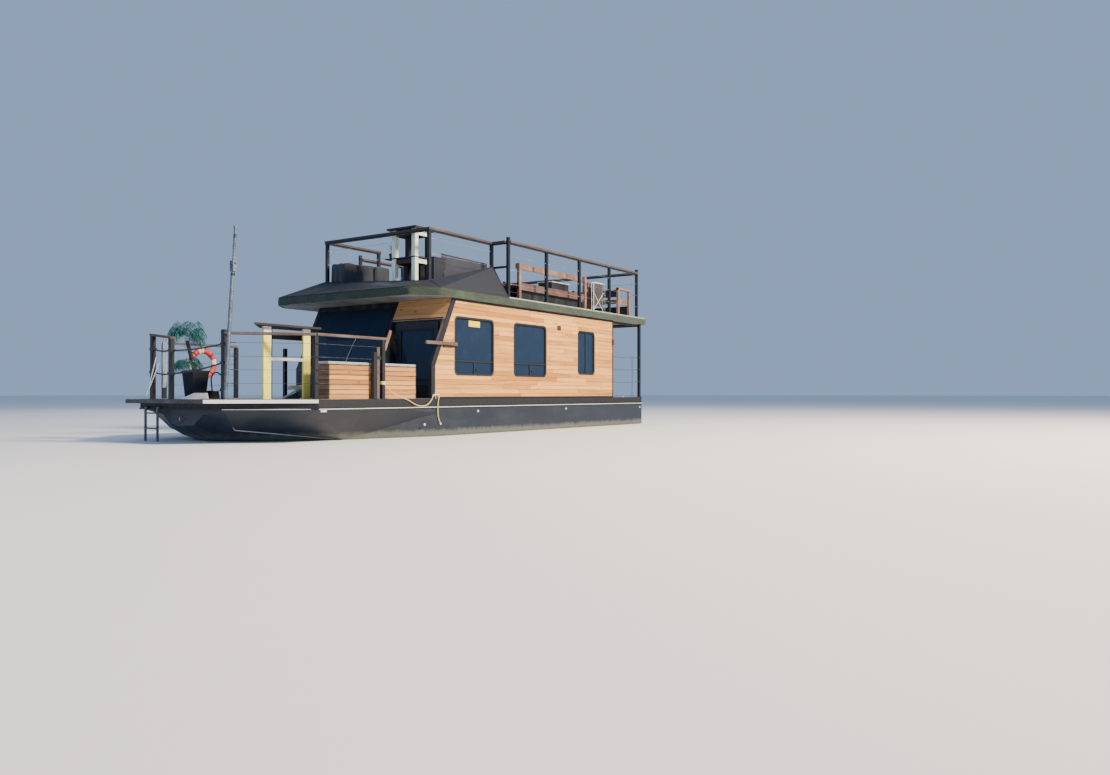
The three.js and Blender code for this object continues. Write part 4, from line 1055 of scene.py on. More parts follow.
@dataclass
class HullAndDeck:
    """Hull plating details, the deck's boards and edges, cleats and the boarding ladder."""

    board: float = 0.142
    seam: float = 0.007
    lift: float = 0.004
    knuckle: tuple[Point, ...] = (
        (9.35, 1.493, 0.019), (10.15, 1.150, 0.120), (10.70, 0.820, 0.190), (10.90, 0.891, 0.404),
    )
    outlets: tuple[Pair, ...] = (
        (7.81, 0.216), (6.34, 0.424), (3.30, 0.424), (-0.10, 0.414),
    )

    def build(self) -> None:
        """Makes every hull and deck piece."""
        repaint("hull", HULL)
        repaint("deck engine_hatch", DECK_BLACK)
        repaint("engine_block", ENGINE_GREY)
        repaint("bow_ladder", GREY_METAL)
        self.both_sides()
        self.front_edge()
        self.fittings()
        self.deck_boards()
        self.hatch()
        self.cleats()
        self.boarding_ladder()

    def both_sides(self) -> None:
        """Makes each side's knuckle strip, pale grey as a painted highlight along the chine, its rub bead, plate seams
        and pale edge.
        """
        strips, bead, seams, edges = (Shape() for _ in range(4))
        for side in (1, -1):
            outer = side * (HALF_BEAM + 0.020)
            rub = [(STERN_X, outer, 0.513), (SHOULDER_X, outer, 0.513), (11.10, side * 1.062, 0.513)]
            knuckle = [(x, side * (y + 0.004), z) for x, y, z in self.knuckle]
            for shape, path, wide, tall in ((strips, knuckle, 0.012, 0.018), (bead, rub, 0.008, 0.012)):
                for a, b in zip(path, path[1:]):
                    shape.beam(a, b, wide, tall)
            for x in (1.5, 3.0, 4.5, 6.0):
                seams.box((x - 0.004, side * 2.0505, -0.2), (x + 0.004, side * 2.047, 0.49))
            out = Vector((0.652, side * 0.758, 0)) * 0.003
            bow, shoulder = Vector((BOW_X, side * BOW_HALF, 0.631)), Vector((SHOULDER_X, side * HALF_BEAM, 0.631))
            edges.beam(bow + out, shoulder + out, 0.010, 0.052)
        # The knuckle strips are pale grey as a painted highlight along the chine.
        strips.piece("knuckle_strips_highlight", KNUCKLE_HIGHLIGHT, slot="hull_paint", bevel=0.003)
        bead.piece("rub_bead", WHITE, slot="hull_paint", bevel=0.002)
        seams.piece("plate_seams", HULL, slot="hull_paint")
        edges.piece("edge_strips", PALE_EDGE, slot="deck_paint", bevel=0.002)

    def fittings(self) -> None:
        """Makes each side's outlets, the bracket at its shoulder, and the towing eye under the bow."""
        outlets, brackets = Shape(), Shape()
        outlet = [(0.0, 0.002), (0.009, 0.002), (0.011, 0.008), (0.020, 0.008), (0.023, 0.0), (0.0, -0.004)]
        for side in (1, -1):
            for x, z in self.outlets:
                outlets.lathe(outlet, (x, side * HALF_BEAM, z), (0, side, 0), 18)
            brackets.box((10.02, side * 2.068, 0.470), (10.13, side * 2.082, 0.500))
            for x in (10.045, 10.105):
                brackets.lathe([(0.008, 0.0), (0.006, 0.006), (0.0, 0.007)], (x, side * 2.082, 0.485), (0, side, 0), 8)
        outlets.piece("hull_outlets", WHITE, slot="hull_paint", sharp=40)
        brackets.piece("shoulder_brackets", WHITE, slot="galvanised", bevel=0.003)
        eye = Shape().tube([(11.055 + 0.035 * math.sin(t), 0.0, 0.36 + 0.035 * math.cos(t)) for t in circle(20)],
                           0.008, 8, loop=True)
        eye.piece("bow_eye", ZINC, slot="galvanised", sharp=60)

    @staticmethod
    def front_edge() -> None:
        """Makes the weathered front plank's edge with its bolts."""
        plank = Shape().box((BOW_X - 0.004, -BOW_HALF + 0.004, 0.603), (BOW_X + 0.006, BOW_HALF - 0.004, 0.659))
        plank.piece("front_plank_edge", EDGE_WOOD, slot="deck_paint", bevel=0.003)
        bolts = Shape()
        for i in range(9):
            place = (BOW_X + 0.006, -0.88 + 0.22 * i, 0.63)
            bolts.lathe([(0.011, 0.0), (0.009, 0.006), (0.0, 0.008)], place, (1, 0, 0), 10)
        bolts.piece("edge_bolts", DARK_STEEL, slot="galvanised")

    @staticmethod
    def half_width(x: float) -> float:
        """Gives half the deck's width at a place along it."""
        return HALF_BEAM - max(0.0, x - SHOULDER_X) * (HALF_BEAM - BOW_HALF) / (BOW_X - SHOULDER_X)

    def starts(self, first: float, last: float) -> Iterable[float]:
        """Gives the near edge of each board from one place to another."""
        x = first
        while x < last:
            yield x
            x += self.board

    def deck_boards(self) -> None:
        """Makes boards across the foredeck, in the door recess, and on the aft deck round the hatch."""
        rng = random.Random(11)
        shape = Shape()
        low, high = DECK_Z, DECK_Z + self.lift
        for x in self.starts(CABIN_FRONT_X + 0.02, BOW_X - 0.05):
            end = min(x + self.board - self.seam, BOW_X - 0.004)
            shape.tone = rng.random()
            a, b = self.half_width(x) - 0.012, self.half_width(end) - 0.012
            shape.prism([(x, -a), (end, -b), (end, b), (x, a)], Axis.Z, low, high)
        for x in self.starts(7.17, CABIN_FRONT_X):
            shape.tone = rng.random()
            shape.box((x, 0.73, low), (x + 0.13, 1.94, high))
        hatch_low, hatch_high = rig.box("engine_hatch")
        for x in self.starts(STERN_X + 0.01, 1.15):
            shape.tone = rng.random()
            end = min(x + self.board - self.seam, 1.19)
            blocked = end > hatch_low[0] - 0.02 and x < hatch_high[0] + 0.02
            for y0, y1 in [(-2.04, -0.49), (0.49, 2.04)] if blocked else [(-2.04, 2.04)]:
                shape.box((x, y0, low), (end, y1, high))
        shape.piece("deck_boards", DECK_TREAD, slot="deck_paint", bevel=0.0015, segments=1)
        hatch = Shape()
        for i in range(6):
            hatch.tone = rng.random()
            x = 0.152 + i * 0.150
            hatch.box((x, hatch_low[1] + 0.008, 0.6625), (x + 0.142, hatch_high[1] - 0.008, 0.6675))
        hatch.piece("hatch_boards", DECK_TREAD, body="hatch", slot="deck_paint", bevel=0.0015, segments=1)

    @staticmethod
    def hatch() -> None:
        """Makes the lift ring of the engine hatch."""
        ring = Shape().lathe([(0.038, 0.0), (0.034, 0.004), (0.0, 0.003)], (0.97, 0, 0.6675), sides=20)
        ring.tube([(0.97 + 0.024 * math.cos(t), 0.024 * math.sin(t), 0.674) for t in circle(20)], 0.0035, 8, loop=True)
        ring.piece("hatch_lift_ring", STAINLESS, body="hatch", slot="galvanised", sharp=50)

    @staticmethod
    def cleats() -> None:
        """Makes horned cleats on two feet."""
        horns = [(-0.100, 0.0045), (-0.085, 0.0075), (-0.05, 0.0085), (-0.02, 0.009), (0.02, 0.009), (0.05, 0.0085),
                 (0.085, 0.0075), (0.100, 0.0045)]
        foot = [(0.016, 0.0), (0.012, 0.006), (0.0075, 0.016), (0.0075, 0.042), (0.0, 0.044)]
        for name in ("cleat_port_mid", "cleat_port_aft", "cleat_starboard_aft"):
            low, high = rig.box(name)
            x, y = (low[0] + high[0]) / 2, (low[1] + high[1]) / 2
            shape = Shape().tube([(x + s, y, high[2] - 0.009 + 0.00001 * i) for i, (s, _) in enumerate(horns)],
                                 [radius for _, radius in horns], 12)
            for s in (-0.026, 0.026):
                shape.lathe(foot, (x + s, y, low[2]), sides=14)
            shape.piece(f"{name}_horns", ZINC, slot="galvanised", stands_for=name, sharp=50)

    @staticmethod
    def boarding_ladder() -> None:
        """Makes the rubber ridges on the rungs of the folding ladder under the bow."""
        low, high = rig.box("bow_ladder")
        x = (low[0] + high[0]) / 2
        shape = Shape()
        for rung in range(4):
            z = low[2] + 0.04 + rung * 0.24
            for ridge in range(5):
                near = x - 0.018 + ridge * 0.008
                shape.box((near, low[1] + 0.02, z + 0.010), (near + 0.004, high[1] - 0.02, z + 0.013))
        shape.piece("bow_ladder_treads", RUBBER, body="boarding_ladder", slot="galvanised")


@dataclass
class Boards:
    """Rows of boards on one wall, each row cut from boards of mixed lengths."""

    height: float = 0.088
    thickness: float = 0.008
    joint: float = 0.004
    shortest: float = 0.9
    longest: float = 2.3

    def row_ends(self, start: float, end: float, rng: random.Random) -> list[Pair]:
        """Splits a row into boards of mixed lengths."""
        cuts = [start]
        while end - cuts[-1] > self.longest:
            cuts.append(cuts[-1] + rng.uniform(self.shortest, self.longest))
        if end - cuts[-1] < 0.35 and len(cuts) > 1:
            cuts.pop()
        cuts.append(end)
        return list(zip(cuts, cuts[1:]))

    def rows(self, low: float, high: float) -> list[Pair]:
        """Splits a wall's height into rows."""
        count = max(1, round((high - low) / self.height))
        step = (high - low) / count
        return [(low + i * step, low + (i + 1) * step) for i in range(count)]


@dataclass
class Cabin:
    """Board cladding, corner strips, windows, the raked windshield, both doors, lamp, vent and grab rail."""

    foot: float = 0.662
    top: float = 2.478
    boards: Boards = field(default_factory=Boards)
    windows: tuple[tuple[str, float, float, float, float, bool], ...] = (
        ("1", 5.81, 6.98, 1.08, 2.155, True), ("2", 4.006, 5.17, 1.085, 2.155, True),
        ("3", 2.035, 2.77, 1.168, 2.145, False),
    )
    starboard_shift: float = -0.43
    corner: float = 0.09
    frame_width: float = 0.034
    jamb_shade_top: float = 1.64
    corner_strip: float = 0.10

    def build(self) -> None:
        """Makes the whole cabin."""
        repaint("cabin_side_port cabin_side_starboard cabin_rear", JOINT_WOOD)
        repaint("cabin_front", DARK_FRONT)
        repaint("door_front door_aft", BLACK)
        for side, sign in (("port", 1), ("starboard", -1)):
            openings = []
            for number, x0, x1, z0, z1, sash in self.windows:
                shift = self.starboard_shift if side == "starboard" and number == "1" else 0.0
                openings.append((f"window_{side}_{number}", x0 + shift, x1 + shift, z0, z1, sash))
            self.side(side, sign, openings)
            for opening in openings:
                self.window(sign, *opening)
        self.front()
        self.rear()
        self.trims()
        self.windshield()
        self.front_door()
        self.aft_door()
        self.small_things()

    @staticmethod
    def boarding(name: str, shape: Shape, finish: Finish) -> bpy.types.Object:
        """Makes one wall's boards from their shape."""
        return shape.piece(name, finish, slot="planks", bevel=0.0025, segments=1)

    def side(self, side: str, sign: int, openings: list[tuple[str, float, float, float, float, bool]]) -> None:
        """Makes the boards of one side, cut round the windows."""
        rng = random.Random(5 if sign > 0 else 6)
        start = CABIN_AFT_X + 0.012
        front = CABIN_FRONT_X - 0.03 if sign > 0 else CABIN_FRONT_X - 0.48
        shape = Shape()
        y0, y1 = sorted((sign * (SIDE_Y - 0.001), sign * (SIDE_Y + self.boards.thickness)))
        for low, high in self.boards.rows(self.foot, self.top):
            for x0, x1 in self.boards.row_ends(start, front, rng):
                shape.tone = rng.random()
                ends = [x1 - max(0.0, z - RAKE_START_Z) * RAKE if x1 >= front else x1 for z in (low, high)]
                begin = x0 + (self.boards.joint if x0 > start else 0.0)
                if begin <= min(ends) - 0.05:
                    edge = high - self.boards.joint
                    shape.prism([(begin, low), (ends[0], low), (ends[1], edge), (begin, edge)], Axis.Y, y0, y1)
        made = self.boarding(f"siding_{side}", shape, SIDE_PINE)
        holes = Shape()
        for _, x0, x1, z0, z1, _ in openings:
            holes.prism(rounded((x0, z0), (x1, z1), self.corner), Axis.Y, y0 - 0.01, y1 + 0.01)
        cut(made, holes)

    def window(self, sign: int, name: str, x0: float, x1: float, z0: float, z1: float, sash: bool) -> None:
        """Makes one window: black frame, pale bead, dark pane, and a sliding sash or a mullion."""
        def band(trim: float, round_off: float, steps: Sequence[Pair]) -> Shape:
            """Skins a closed band round the opening through steps of inset and depth."""
            rings = []
            for inset, depth in steps:
                outline = rounded((x0 + trim + inset, z0 + trim + inset), (x1 - trim - inset, z1 - trim - inset),
                                  self.corner - round_off * inset)
                rings.append([(x, sign * (SIDE_Y + depth), z) for x, z in outline])
            return Shape().skin([*rings, rings[0]], caps=False)

        wide = self.frame_width
        ring = band(0.001, 0.5, [(0.0, -0.045), (0.0, 0.004), (0.006, 0.012), (wide - 0.008, 0.012), (wide, 0.004),
                                 (wide, -0.045)])
        ring.piece(f"{name}_frame", RUBBER, slot="tinted_glass", stands_for=name, sharp=40)
        bead = band(0.0, 1.0, [(0.0, 0.0075), (-0.002, 0.0115), (-0.010, 0.0115), (-0.013, 0.0075)])
        bead.piece(f"{name}_bead", TAN_EDGE, slot="tinted_glass", sharp=40)
        back, face, bar = (sign * (SIDE_Y + 0.012 - depth) for depth in (0.040, 0.034, 0.016))
        outline = rounded((x0 + 0.025, z0 + 0.025), (x1 - 0.025, z1 - 0.025), self.corner - 0.02)
        Shape().prism(outline, Axis.Y, *sorted((back, face))).piece(f"{name}_pane", GLASS, slot="tinted_glass")
        y0, y1 = sorted((face, bar))
        middle = (x0 + x1) / 2
        bars = Shape()
        if sash:
            rail = z0 + 0.245 * (z1 - z0)
            bars.box((x0 + 0.03, y0, rail - 0.012), (x1 - 0.03, y1, rail + 0.012))
            bars.box((middle - 0.013, y0, z0 + 0.03), (middle + 0.013, y1, rail))
            bars.box((middle - 0.10, y0, z0 + 0.10), (middle - 0.06, y1 + 0.004 * sign, z0 + 0.13))
        else:
            bars.box((middle - 0.014, y0, z0 + 0.03), (middle + 0.014, y1, z1 - 0.03))
        bars.piece(f"{name}_bars", RUBBER, slot="tinted_glass", bevel=0.003)

    def front(self) -> None:
        """Makes the front's boards: the low part, the bay round the windshield, the lit header over the door, and the
        door bay's jamb, black below the grab rail as painted shade.
        """
        rng = random.Random(8)
        thick = self.boards.thickness
        shape = Shape()
        for low, high in self.boards.rows(self.foot, RAKE_START_Z):
            for y0, y1 in self.boards.row_ends(-1.49, 0.70, rng):
                shape.tone = rng.random()
                shape.box((CABIN_FRONT_X - 0.001, y0 + 0.002, low), (CABIN_FRONT_X + thick, y1, high - 0.003))
            z = (low + high) / 2
            out = Vector((0.743, -0.669, 0)) * thick / 2
            near, far = Vector((CABIN_FRONT_X - 0.001, -1.50, z)), Vector((CABIN_FRONT_X - 0.449, -1.999, z))
            shape.beam(near + out, far + out, thick, high - low - 0.003)
        self.boarding("siding_front_low", shape, DARK_FRONT)
        header = Shape()
        rise = Vector((RAKE, 0, -1)).normalized()
        out = Vector((1, 0, RAKE)).normalized() * thick / 2
        for low, high in self.boards.rows(2.085, self.top):
            header.tone = rng.random()
            z = (low + high) / 2
            start, end = (Vector((front_x(z), y, z)) + out for y in (0.705, 1.995))
            header.beam(start, end, thick, (high - low) * math.hypot(1, RAKE) - 0.003, up=-rise)
        self.boarding("siding_header", header, CROSS_PINE)
        jamb = Shape(0.7)
        foot, knee, head = (Vector((front_x(z) - 0.012, 1.978, z)) for z in (RAKE_START_Z, self.jamb_shade_top, self.top))
        jamb.beam(knee, head, 0.066, 0.036, up=(1, 0, 0))
        # Below the grab rail's height the jamb is black as painted shade on its bow-facing side; only the part above is
        # wood.
        jamb.mark = 1
        jamb.box((CABIN_FRONT_X - 0.03, 1.945, self.foot), (CABIN_FRONT_X + 0.006, 2.012, RAKE_START_Z))
        jamb.beam(foot, knee, 0.066, 0.036, up=(1, 0, 0))
        jamb.piece("door_bay_jamb_shaded_foot", UPRIGHT_WOOD, BLACK, slot="planks", bevel=0.003)

    def rear(self) -> None:
        """Makes the boards of the rear wall on both sides of the door and over it."""
        rng = random.Random(9)
        shape = Shape()
        x1 = CABIN_AFT_X + 0.001
        for low, high in self.boards.rows(self.foot, self.top):
            for start, end in [(-1.94, -0.40), (0.46, 1.94)] if low < 2.12 else [(-1.94, 1.94)]:
                for y0, y1 in self.boards.row_ends(start, end, rng):
                    shape.tone = rng.random()
                    shape.box((x1 - self.boards.thickness, y0 + 0.002, low), (x1, y1, high - 0.003))
        self.boarding("siding_rear", shape, CROSS_PINE)

    def trims(self) -> None:
        """Makes the black strips at the front and rear corners and along the foot of each side, and a black strip under
        the roof that is painted shadow of the roof's overhang.
        """
        shape = Shape()
        for side, end in ((1, CABIN_FRONT_X), (-1, CABIN_FRONT_X - 0.45)):
            y = side * (SIDE_Y + 0.011)
            middle = end - self.corner_strip / 2 + 0.006
            foot, knee = Vector((middle, y, self.foot)), Vector((middle, y, RAKE_START_Z))
            head = Vector((middle - (self.top - RAKE_START_Z) * RAKE, y, self.top))
            shape.beam(foot, knee, self.corner_strip, 0.012, up=(0, side, 0))
            shape.beam(knee, head, self.corner_strip, 0.012, up=(0, side, 0))
            near, far = side * (SIDE_Y - 0.001), side * (SIDE_Y + 0.014)
            for x0, z0, x1, z1 in ((CABIN_AFT_X - 0.010, self.foot, CABIN_AFT_X + 0.030, self.top),
                                   # A black strip right under the roof: painted shadow of the roof's overhang.
                                   (CABIN_AFT_X, self.top - 0.045, head.x, self.top),
                                   (CABIN_AFT_X, self.foot, end - 0.02, self.foot + 0.03)):
                shape.box((x0, near, z0), (x1, far, z1))
        shape.piece("corner_strips_roof_shadow", BLACK, slot="black_metal", bevel=0.003)

    @staticmethod
    def windshield() -> None:
        """Makes two dark panes in a rubber frame on the raked front, with a centre post and one wiper."""
        y0, y1, z0, z1 = -1.40, 0.64, 1.29, 2.37
        post_y, edge = -0.42, 0.05
        normal = (0.905, 0, 0.425)

        def raked(y: float, z: float, out: float) -> Vector:
            """Gives a point on the raked front, that far outside it."""
            return Vector((front_x(z), y, z)) + Vector(normal) * out

        ring = Shape()
        for z in (z0 + edge / 2, z1 - edge / 2):
            ring.beam(raked(y0, z, 0.004), raked(y1, z, 0.004), 0.03, edge, up=(-0.425, 0, 0.905))
        for y in (y0 + edge / 2, post_y, y1 - edge / 2):
            ring.beam(raked(y, z0 + 0.003, 0.004), raked(y, z1 - 0.003, 0.004), edge, 0.03, up=(1, 0, 0))
        ring.piece("windshield_frame", RUBBER, slot="tinted_glass", bevel=0.005, stands_for="windshield")
        panes = Shape()
        for a, b in ((y0 + 0.03, post_y), (post_y, y1 - 0.03)):
            panes.skin([[raked(y, z, out) for y, out in ((a, 0.004), (b, 0.004), (b, 0.021), (a, 0.021))]
                        for z in (z0 + 0.03, z1 - 0.03)])
        panes.piece("windshield_panes", GLASS, slot="tinted_glass")
        foot, head = raked(-0.126, z0 + 0.03, 0.026), raked(-0.099, z0 + 0.36, 0.030)
        along = (raked(-0.059, z0 + 0.60, 0.026) - raked(-0.119, z0 + 0.20, 0.026)).normalized()
        wiper = Shape().lathe([(0.018, 0.0), (0.014, 0.012), (0.0, 0.016)], foot, normal, 12)
        wiper.tube([foot, foot.lerp(head, 0.5) + Vector((0.012, 0, 0)), head], [0.006, 0.005, 0.004], 8)
        wiper.tube([head - along * 0.2, head, head + along * 0.2], 0.0045, 8)
        wiper.piece("wiper", PALE_EDGE, slot="galvanised", sharp=50)

    @staticmethod
    def front_door() -> None:
        """Makes the pane, bead, foot plate and pull of the recessed port door."""
        rear, face = 7.162, 7.202
        y0, y1, z0 = 0.788, 1.825, 0.705
        pane = Shape().box((rear + 0.010, y0 + 0.118, 0.996), (rear + 0.026, y1 - 0.121, 1.924))
        pane.piece("door_front_pane", GLASS, body="front_door", slot="tinted_glass")
        bead = Shape()
        for a, b, c, d in ((0.89, 0.925, 0.985, 1.935), (1.685, 1.72, 0.985, 1.935), (0.925, 1.685, 0.985, 1.02),
                           (0.925, 1.685, 1.90, 1.935)):
            bead.box((face - 0.004, a, c), (face + 0.008, b, d))
        bead.box((face - 0.002, y0 + 0.09, z0 + 0.03), (face + 0.004, y1 - 0.09, z0 + 0.20))
        bead.piece("door_front_bead", RUBBER, body="front_door", slot="black_metal", bevel=0.003)
        pull = Shape().tube([(face, 1.755, 1.34), (face + 0.030, 1.755, 1.36), (face + 0.030, 1.755, 1.54),
                             (face, 1.755, 1.56)], 0.007, 10)
        pull.piece("door_front_pull", STAINLESS, body="front_door", slot="galvanised", sharp=60)

    @staticmethod
    def aft_door() -> None:
        """Makes the aft door's upper pane, its bead and the kick plate."""
        x = CABIN_AFT_X - 0.047
        pane = Shape().box((x + 0.012, -0.238, 1.302), (x + 0.024, 0.238, 1.948))
        pane.piece("door_aft_pane", GLASS, body="aft_door", slot="tinted_glass")
        bead = Shape()
        for a, b, c, d in ((-0.262, -0.236, 1.275, 1.975), (0.236, 0.262, 1.275, 1.975), (-0.236, 0.236, 1.275, 1.301),
                           (-0.236, 0.236, 1.949, 1.975)):
            bead.box((x - 0.006, a, c), (x + 0.004, b, d))
        bead.piece("door_aft_bead", RUBBER, body="aft_door", slot="black_metal", bevel=0.003)
        plate = Shape().box((x - 0.003, -0.32, 0.74), (x + 0.002, 0.32, 0.96))
        plate.piece("door_aft_kick_plate", STAINLESS, body="aft_door", slot="galvanised", bevel=0.001)

    @staticmethod
    def small_things() -> None:
        """Makes the blank yellow plate, the lamp, the vent and the grab rail at the port front corner, with a
        near-black block under the rail that is painted shadow.
        """
        plate = Shape().box((6.212, SIDE_Y - 0.022, 1.990), (6.539, SIDE_Y - 0.016, 2.098))
        plate.piece("blank_plate", YELLOW_PLATE, slot="yellow_paint", bevel=0.002)
        lamp = Shape().box((1.205, 2.016, 1.885), (1.245, 2.030, 2.035))
        lamp.prism([(1.208, 1.90), (1.242, 1.90), (1.242, 2.02), (1.208, 2.02)], Axis.Y, 2.028, 2.062)
        lamp.piece("side_lamp", BROWN_PLASTIC, slot="black_metal", bevel=0.006)
        vent = Shape().box((3.46, 2.016, 2.10), (3.60, 2.028, 2.20))
        for slat in range(5):
            z = 2.115 + 0.018 * slat
            vent.beam((3.47, 2.030, z), (3.59, 2.030, z), 0.010, 0.004, up=(0, 1, 1))
        vent.piece("side_vent", BROWN_PLASTIC, slot="black_metal", bevel=0.003)
        rail = Shape(0.6).beam((6.95, 2.052, 1.640), (7.78, 2.052, 1.640), 0.045, 0.060)
        rail.beam((7.05, 2.03, 1.60), (7.05, 2.03, 1.68), 0.05, 0.035, up=(1, 0, 0))
        rail.piece("cabin_grab_rail", RAIL_WOOD, slot="grey_wood", bevel=0.006)
        # A near-black block under the rail's aft part: painted shadow of the rail.
        under = Shape().box((7.02, 2.016, 1.575), (7.30, 2.045, 1.611))
        under.piece("grab_rail_painted_shadow", DARK_WOOD, slot="grey_wood", bevel=0.004)


@dataclass
class Roof:
    """The roof slab's grass-taped fascia, its trim, soffit joists, and the membrane visor round the front."""

    tape: float = 0.008
    step: float = 0.045
    visor_x: float = 7.30
    visor_port: Point = (1.68, 2.78)
    visor_starboard: Point = (-1.04, 2.93)
    apex: Point = (5.415, 1.70, 3.25)

    def build(self) -> None:
        """Makes the roof's pieces."""
        repaint("roof", ROOF_TREAD)
        repaint("visor_coaming", MEMBRANE)
        self.fascia()
        self.soffit()
        self.visor()

    @staticmethod
    def sides(grow: float) -> Iterable[tuple[Vector, Vector]]:
        """Gives each side of the roof's outline, grown outward, anticlockwise from the starboard front."""
        cut_x, cut_y = ROOF_CORNER
        half, front, aft = ROOF_HALF + grow, ROOF_FRONT_X + grow, ROOF_AFT_X - grow
        turn = ROOF_FRONT_X - cut_x + grow * 0.4
        port = [(front, half - cut_y), (turn, half), (aft, half)]
        corners = [Vector((x, y, 0)) for x, y in [(front, -half + cut_y), *port, (aft, -half), (turn, -half)]]
        return zip(corners, corners[1:] + corners[:1])

    def fascia(self) -> None:
        """Makes the band of short grass round the edge, uneven by millimetres, and the trim of the bare top."""
        rng = random.Random(21)
        levels = [(-0.03, SOFFIT_Z - 0.006), (0.0, SOFFIT_Z - 0.006), (0.0, SOFFIT_Z + 0.03), (0.0, SOFFIT_Z + 0.065),
                  (0.0, SOFFIT_Z + 0.10), (0.0, ROOF_Z + 0.004), (-0.045, ROOF_Z + 0.006)]
        columns = []
        for a, b in self.sides(self.tape):
            count = max(1, round((b - a).length / self.step))
            out = Vector((b.y - a.y, a.x - b.x, 0)).normalized()
            for i in range(count):
                at = a.lerp(b, i / count)
                column = []
                for inset, z in levels:
                    jitter = rng.uniform(0, 0.007) if inset == 0.0 else 0.0
                    column.append(at + out * (inset + jitter) + Vector((0, 0, z + rng.uniform(-0.002, 0.002))))
                columns.append(column)
        Shape().sheet([*columns, columns[0]]).piece("grass_fascia", GRASS_EDGE, slot="roof_green", sharp=80)
        edge = Shape()
        lift = Vector((0, 0, ROOF_Z + 0.016))
        for a, b in self.sides(-0.012):
            if abs(a.x - b.x) > 1:
                a, b = (Vector((min(end.x, FLY_STEP_X - 0.02), end.y, 0)) for end in (a, b))
            if abs(a.x - b.x) > 1 or abs(a.x - ROOF_AFT_X) < 0.1:
                edge.beam(a + lift, b + lift, 0.03, 0.030)
        edge.piece("roof_edge_trim", ROOF_TRIM, slot="roof_green", bevel=0.002)

    @staticmethod
    def soffit() -> None:
        """Makes the joists and the two cross boards under the aft overhang."""
        shape = Shape()
        for i in range(8):
            y = -1.9 + i * 3.8 / 7
            shape.box((ROOF_AFT_X + 0.05, y - 0.02, SOFFIT_Z - 0.05), (CABIN_AFT_X - 0.02, y + 0.02, SOFFIT_Z + 0.001))
        for x in (0.095, -0.25):
            shape.box((x, -1.94, SOFFIT_Z - 0.058), (x + 0.035, 1.94, SOFFIT_Z - 0.012))
        shape.piece("soffit_joists", DARK_WOOD, slot="grey_wood", bevel=0.003)

    def visor(self) -> None:
        """Makes the membrane over boards: front slope, port skirt up to its apex, and starboard skirt."""
        rng = random.Random(33)
        cut_x, cut_y = ROOF_CORNER
        corner_y = ROOF_HALF - cut_y
        aft = LEAN_STARBOARD_AFT_X

        def ends(x: float, y: float, other: float) -> list[Vector]:
            """Gives the port and the starboard point of the visor's foot."""
            return [Vector((x, y, ROOF_Z + 0.008)), Vector((other, -y, ROOF_Z + 0.008))]

        apex = Vector(self.apex)
        head_port, head_starboard = (Vector((self.visor_x, *end)) for end in (self.visor_port, self.visor_starboard))
        front_port, front_starboard = ends(ROOF_FRONT_X, corner_y, ROOF_FRONT_X)
        side_port, side_starboard = ends(ROOF_FRONT_X - cut_x, ROOF_HALF, ROOF_FRONT_X - cut_x)
        skirt_port, skirt_starboard = ends(apex.x, ROOF_HALF, aft)
        end_starboard = Vector((aft, *self.visor_starboard))
        patches = [
            (front_starboard, front_port, head_port, head_starboard),
            (front_port, side_port, head_port, head_port),
            (side_port, skirt_port, apex, head_port),
            (side_starboard, front_starboard, head_starboard, head_starboard),
            (skirt_starboard, side_starboard, head_starboard, end_starboard),
        ]
        shape = Shape()
        for a, b, c, d in patches:
            normal = (b - a).cross(c - a).normalized()
            wide = max(2, round((b - a).length / 0.09))
            tall = max(4, round((d - a).length / 0.09))
            phase = rng.uniform(0, 6)
            rows = []
            for t in (r / tall for r in range(tall + 1)):
                row = []
                for s in (k / wide for k in range(wide + 1)):
                    inside = math.sin(math.pi * s) * math.sin(math.pi * t)
                    ripple = 0.5 + 0.5 * math.sin(phase + 9 * s + 2.4 * math.sin(5 * t + phase))
                    row.append(a.lerp(b, s).lerp(d.lerp(c, s), t) + normal * (0.004 + 0.010 * inside * ripple))
                rows.append(row)
            shape.sheet(rows)
        made = shape.piece("visor_membrane", MEMBRANE, slot="charcoal_skin", sharp=24)
        thicken(made, "thickness", 0.003).offset = 1.0
        seams = Shape()
        lift = Vector((0.008, 0, 0.014))
        for y in (-0.9, -0.1, 0.75):
            t = (y + corner_y) / (2 * corner_y)
            low, high = front_starboard.lerp(front_port, t), head_starboard.lerp(head_port, t)
            seams.beam(low + lift, high + lift, 0.06, 0.004, up=(0.5, 0, 0.85))
        lift = Vector((0.004, 0, 0.004))
        for a, b in ((head_port, front_port), (head_port, side_port), (head_starboard, front_starboard),
                     (head_starboard, side_starboard), (head_port, head_starboard), (head_port, apex)):
            seams.tube([a + lift, b + lift], 0.009, 8)
        seams.piece("visor_seams", MEMBRANE, slot="charcoal_skin", sharp=50)
        foot = Shape()
        lift = Vector((-0.01, 0, 0.004))
        for a, b in ((front_starboard, front_port), (front_port, side_port), (side_port, skirt_port),
                     (front_starboard, side_starboard), (side_starboard, skirt_starboard)):
            foot.beam(a + lift, b + lift, 0.02, 0.014)
        foot.piece("visor_foot_batten", DARK_WOOD, slot="charcoal_skin", bevel=0.003)


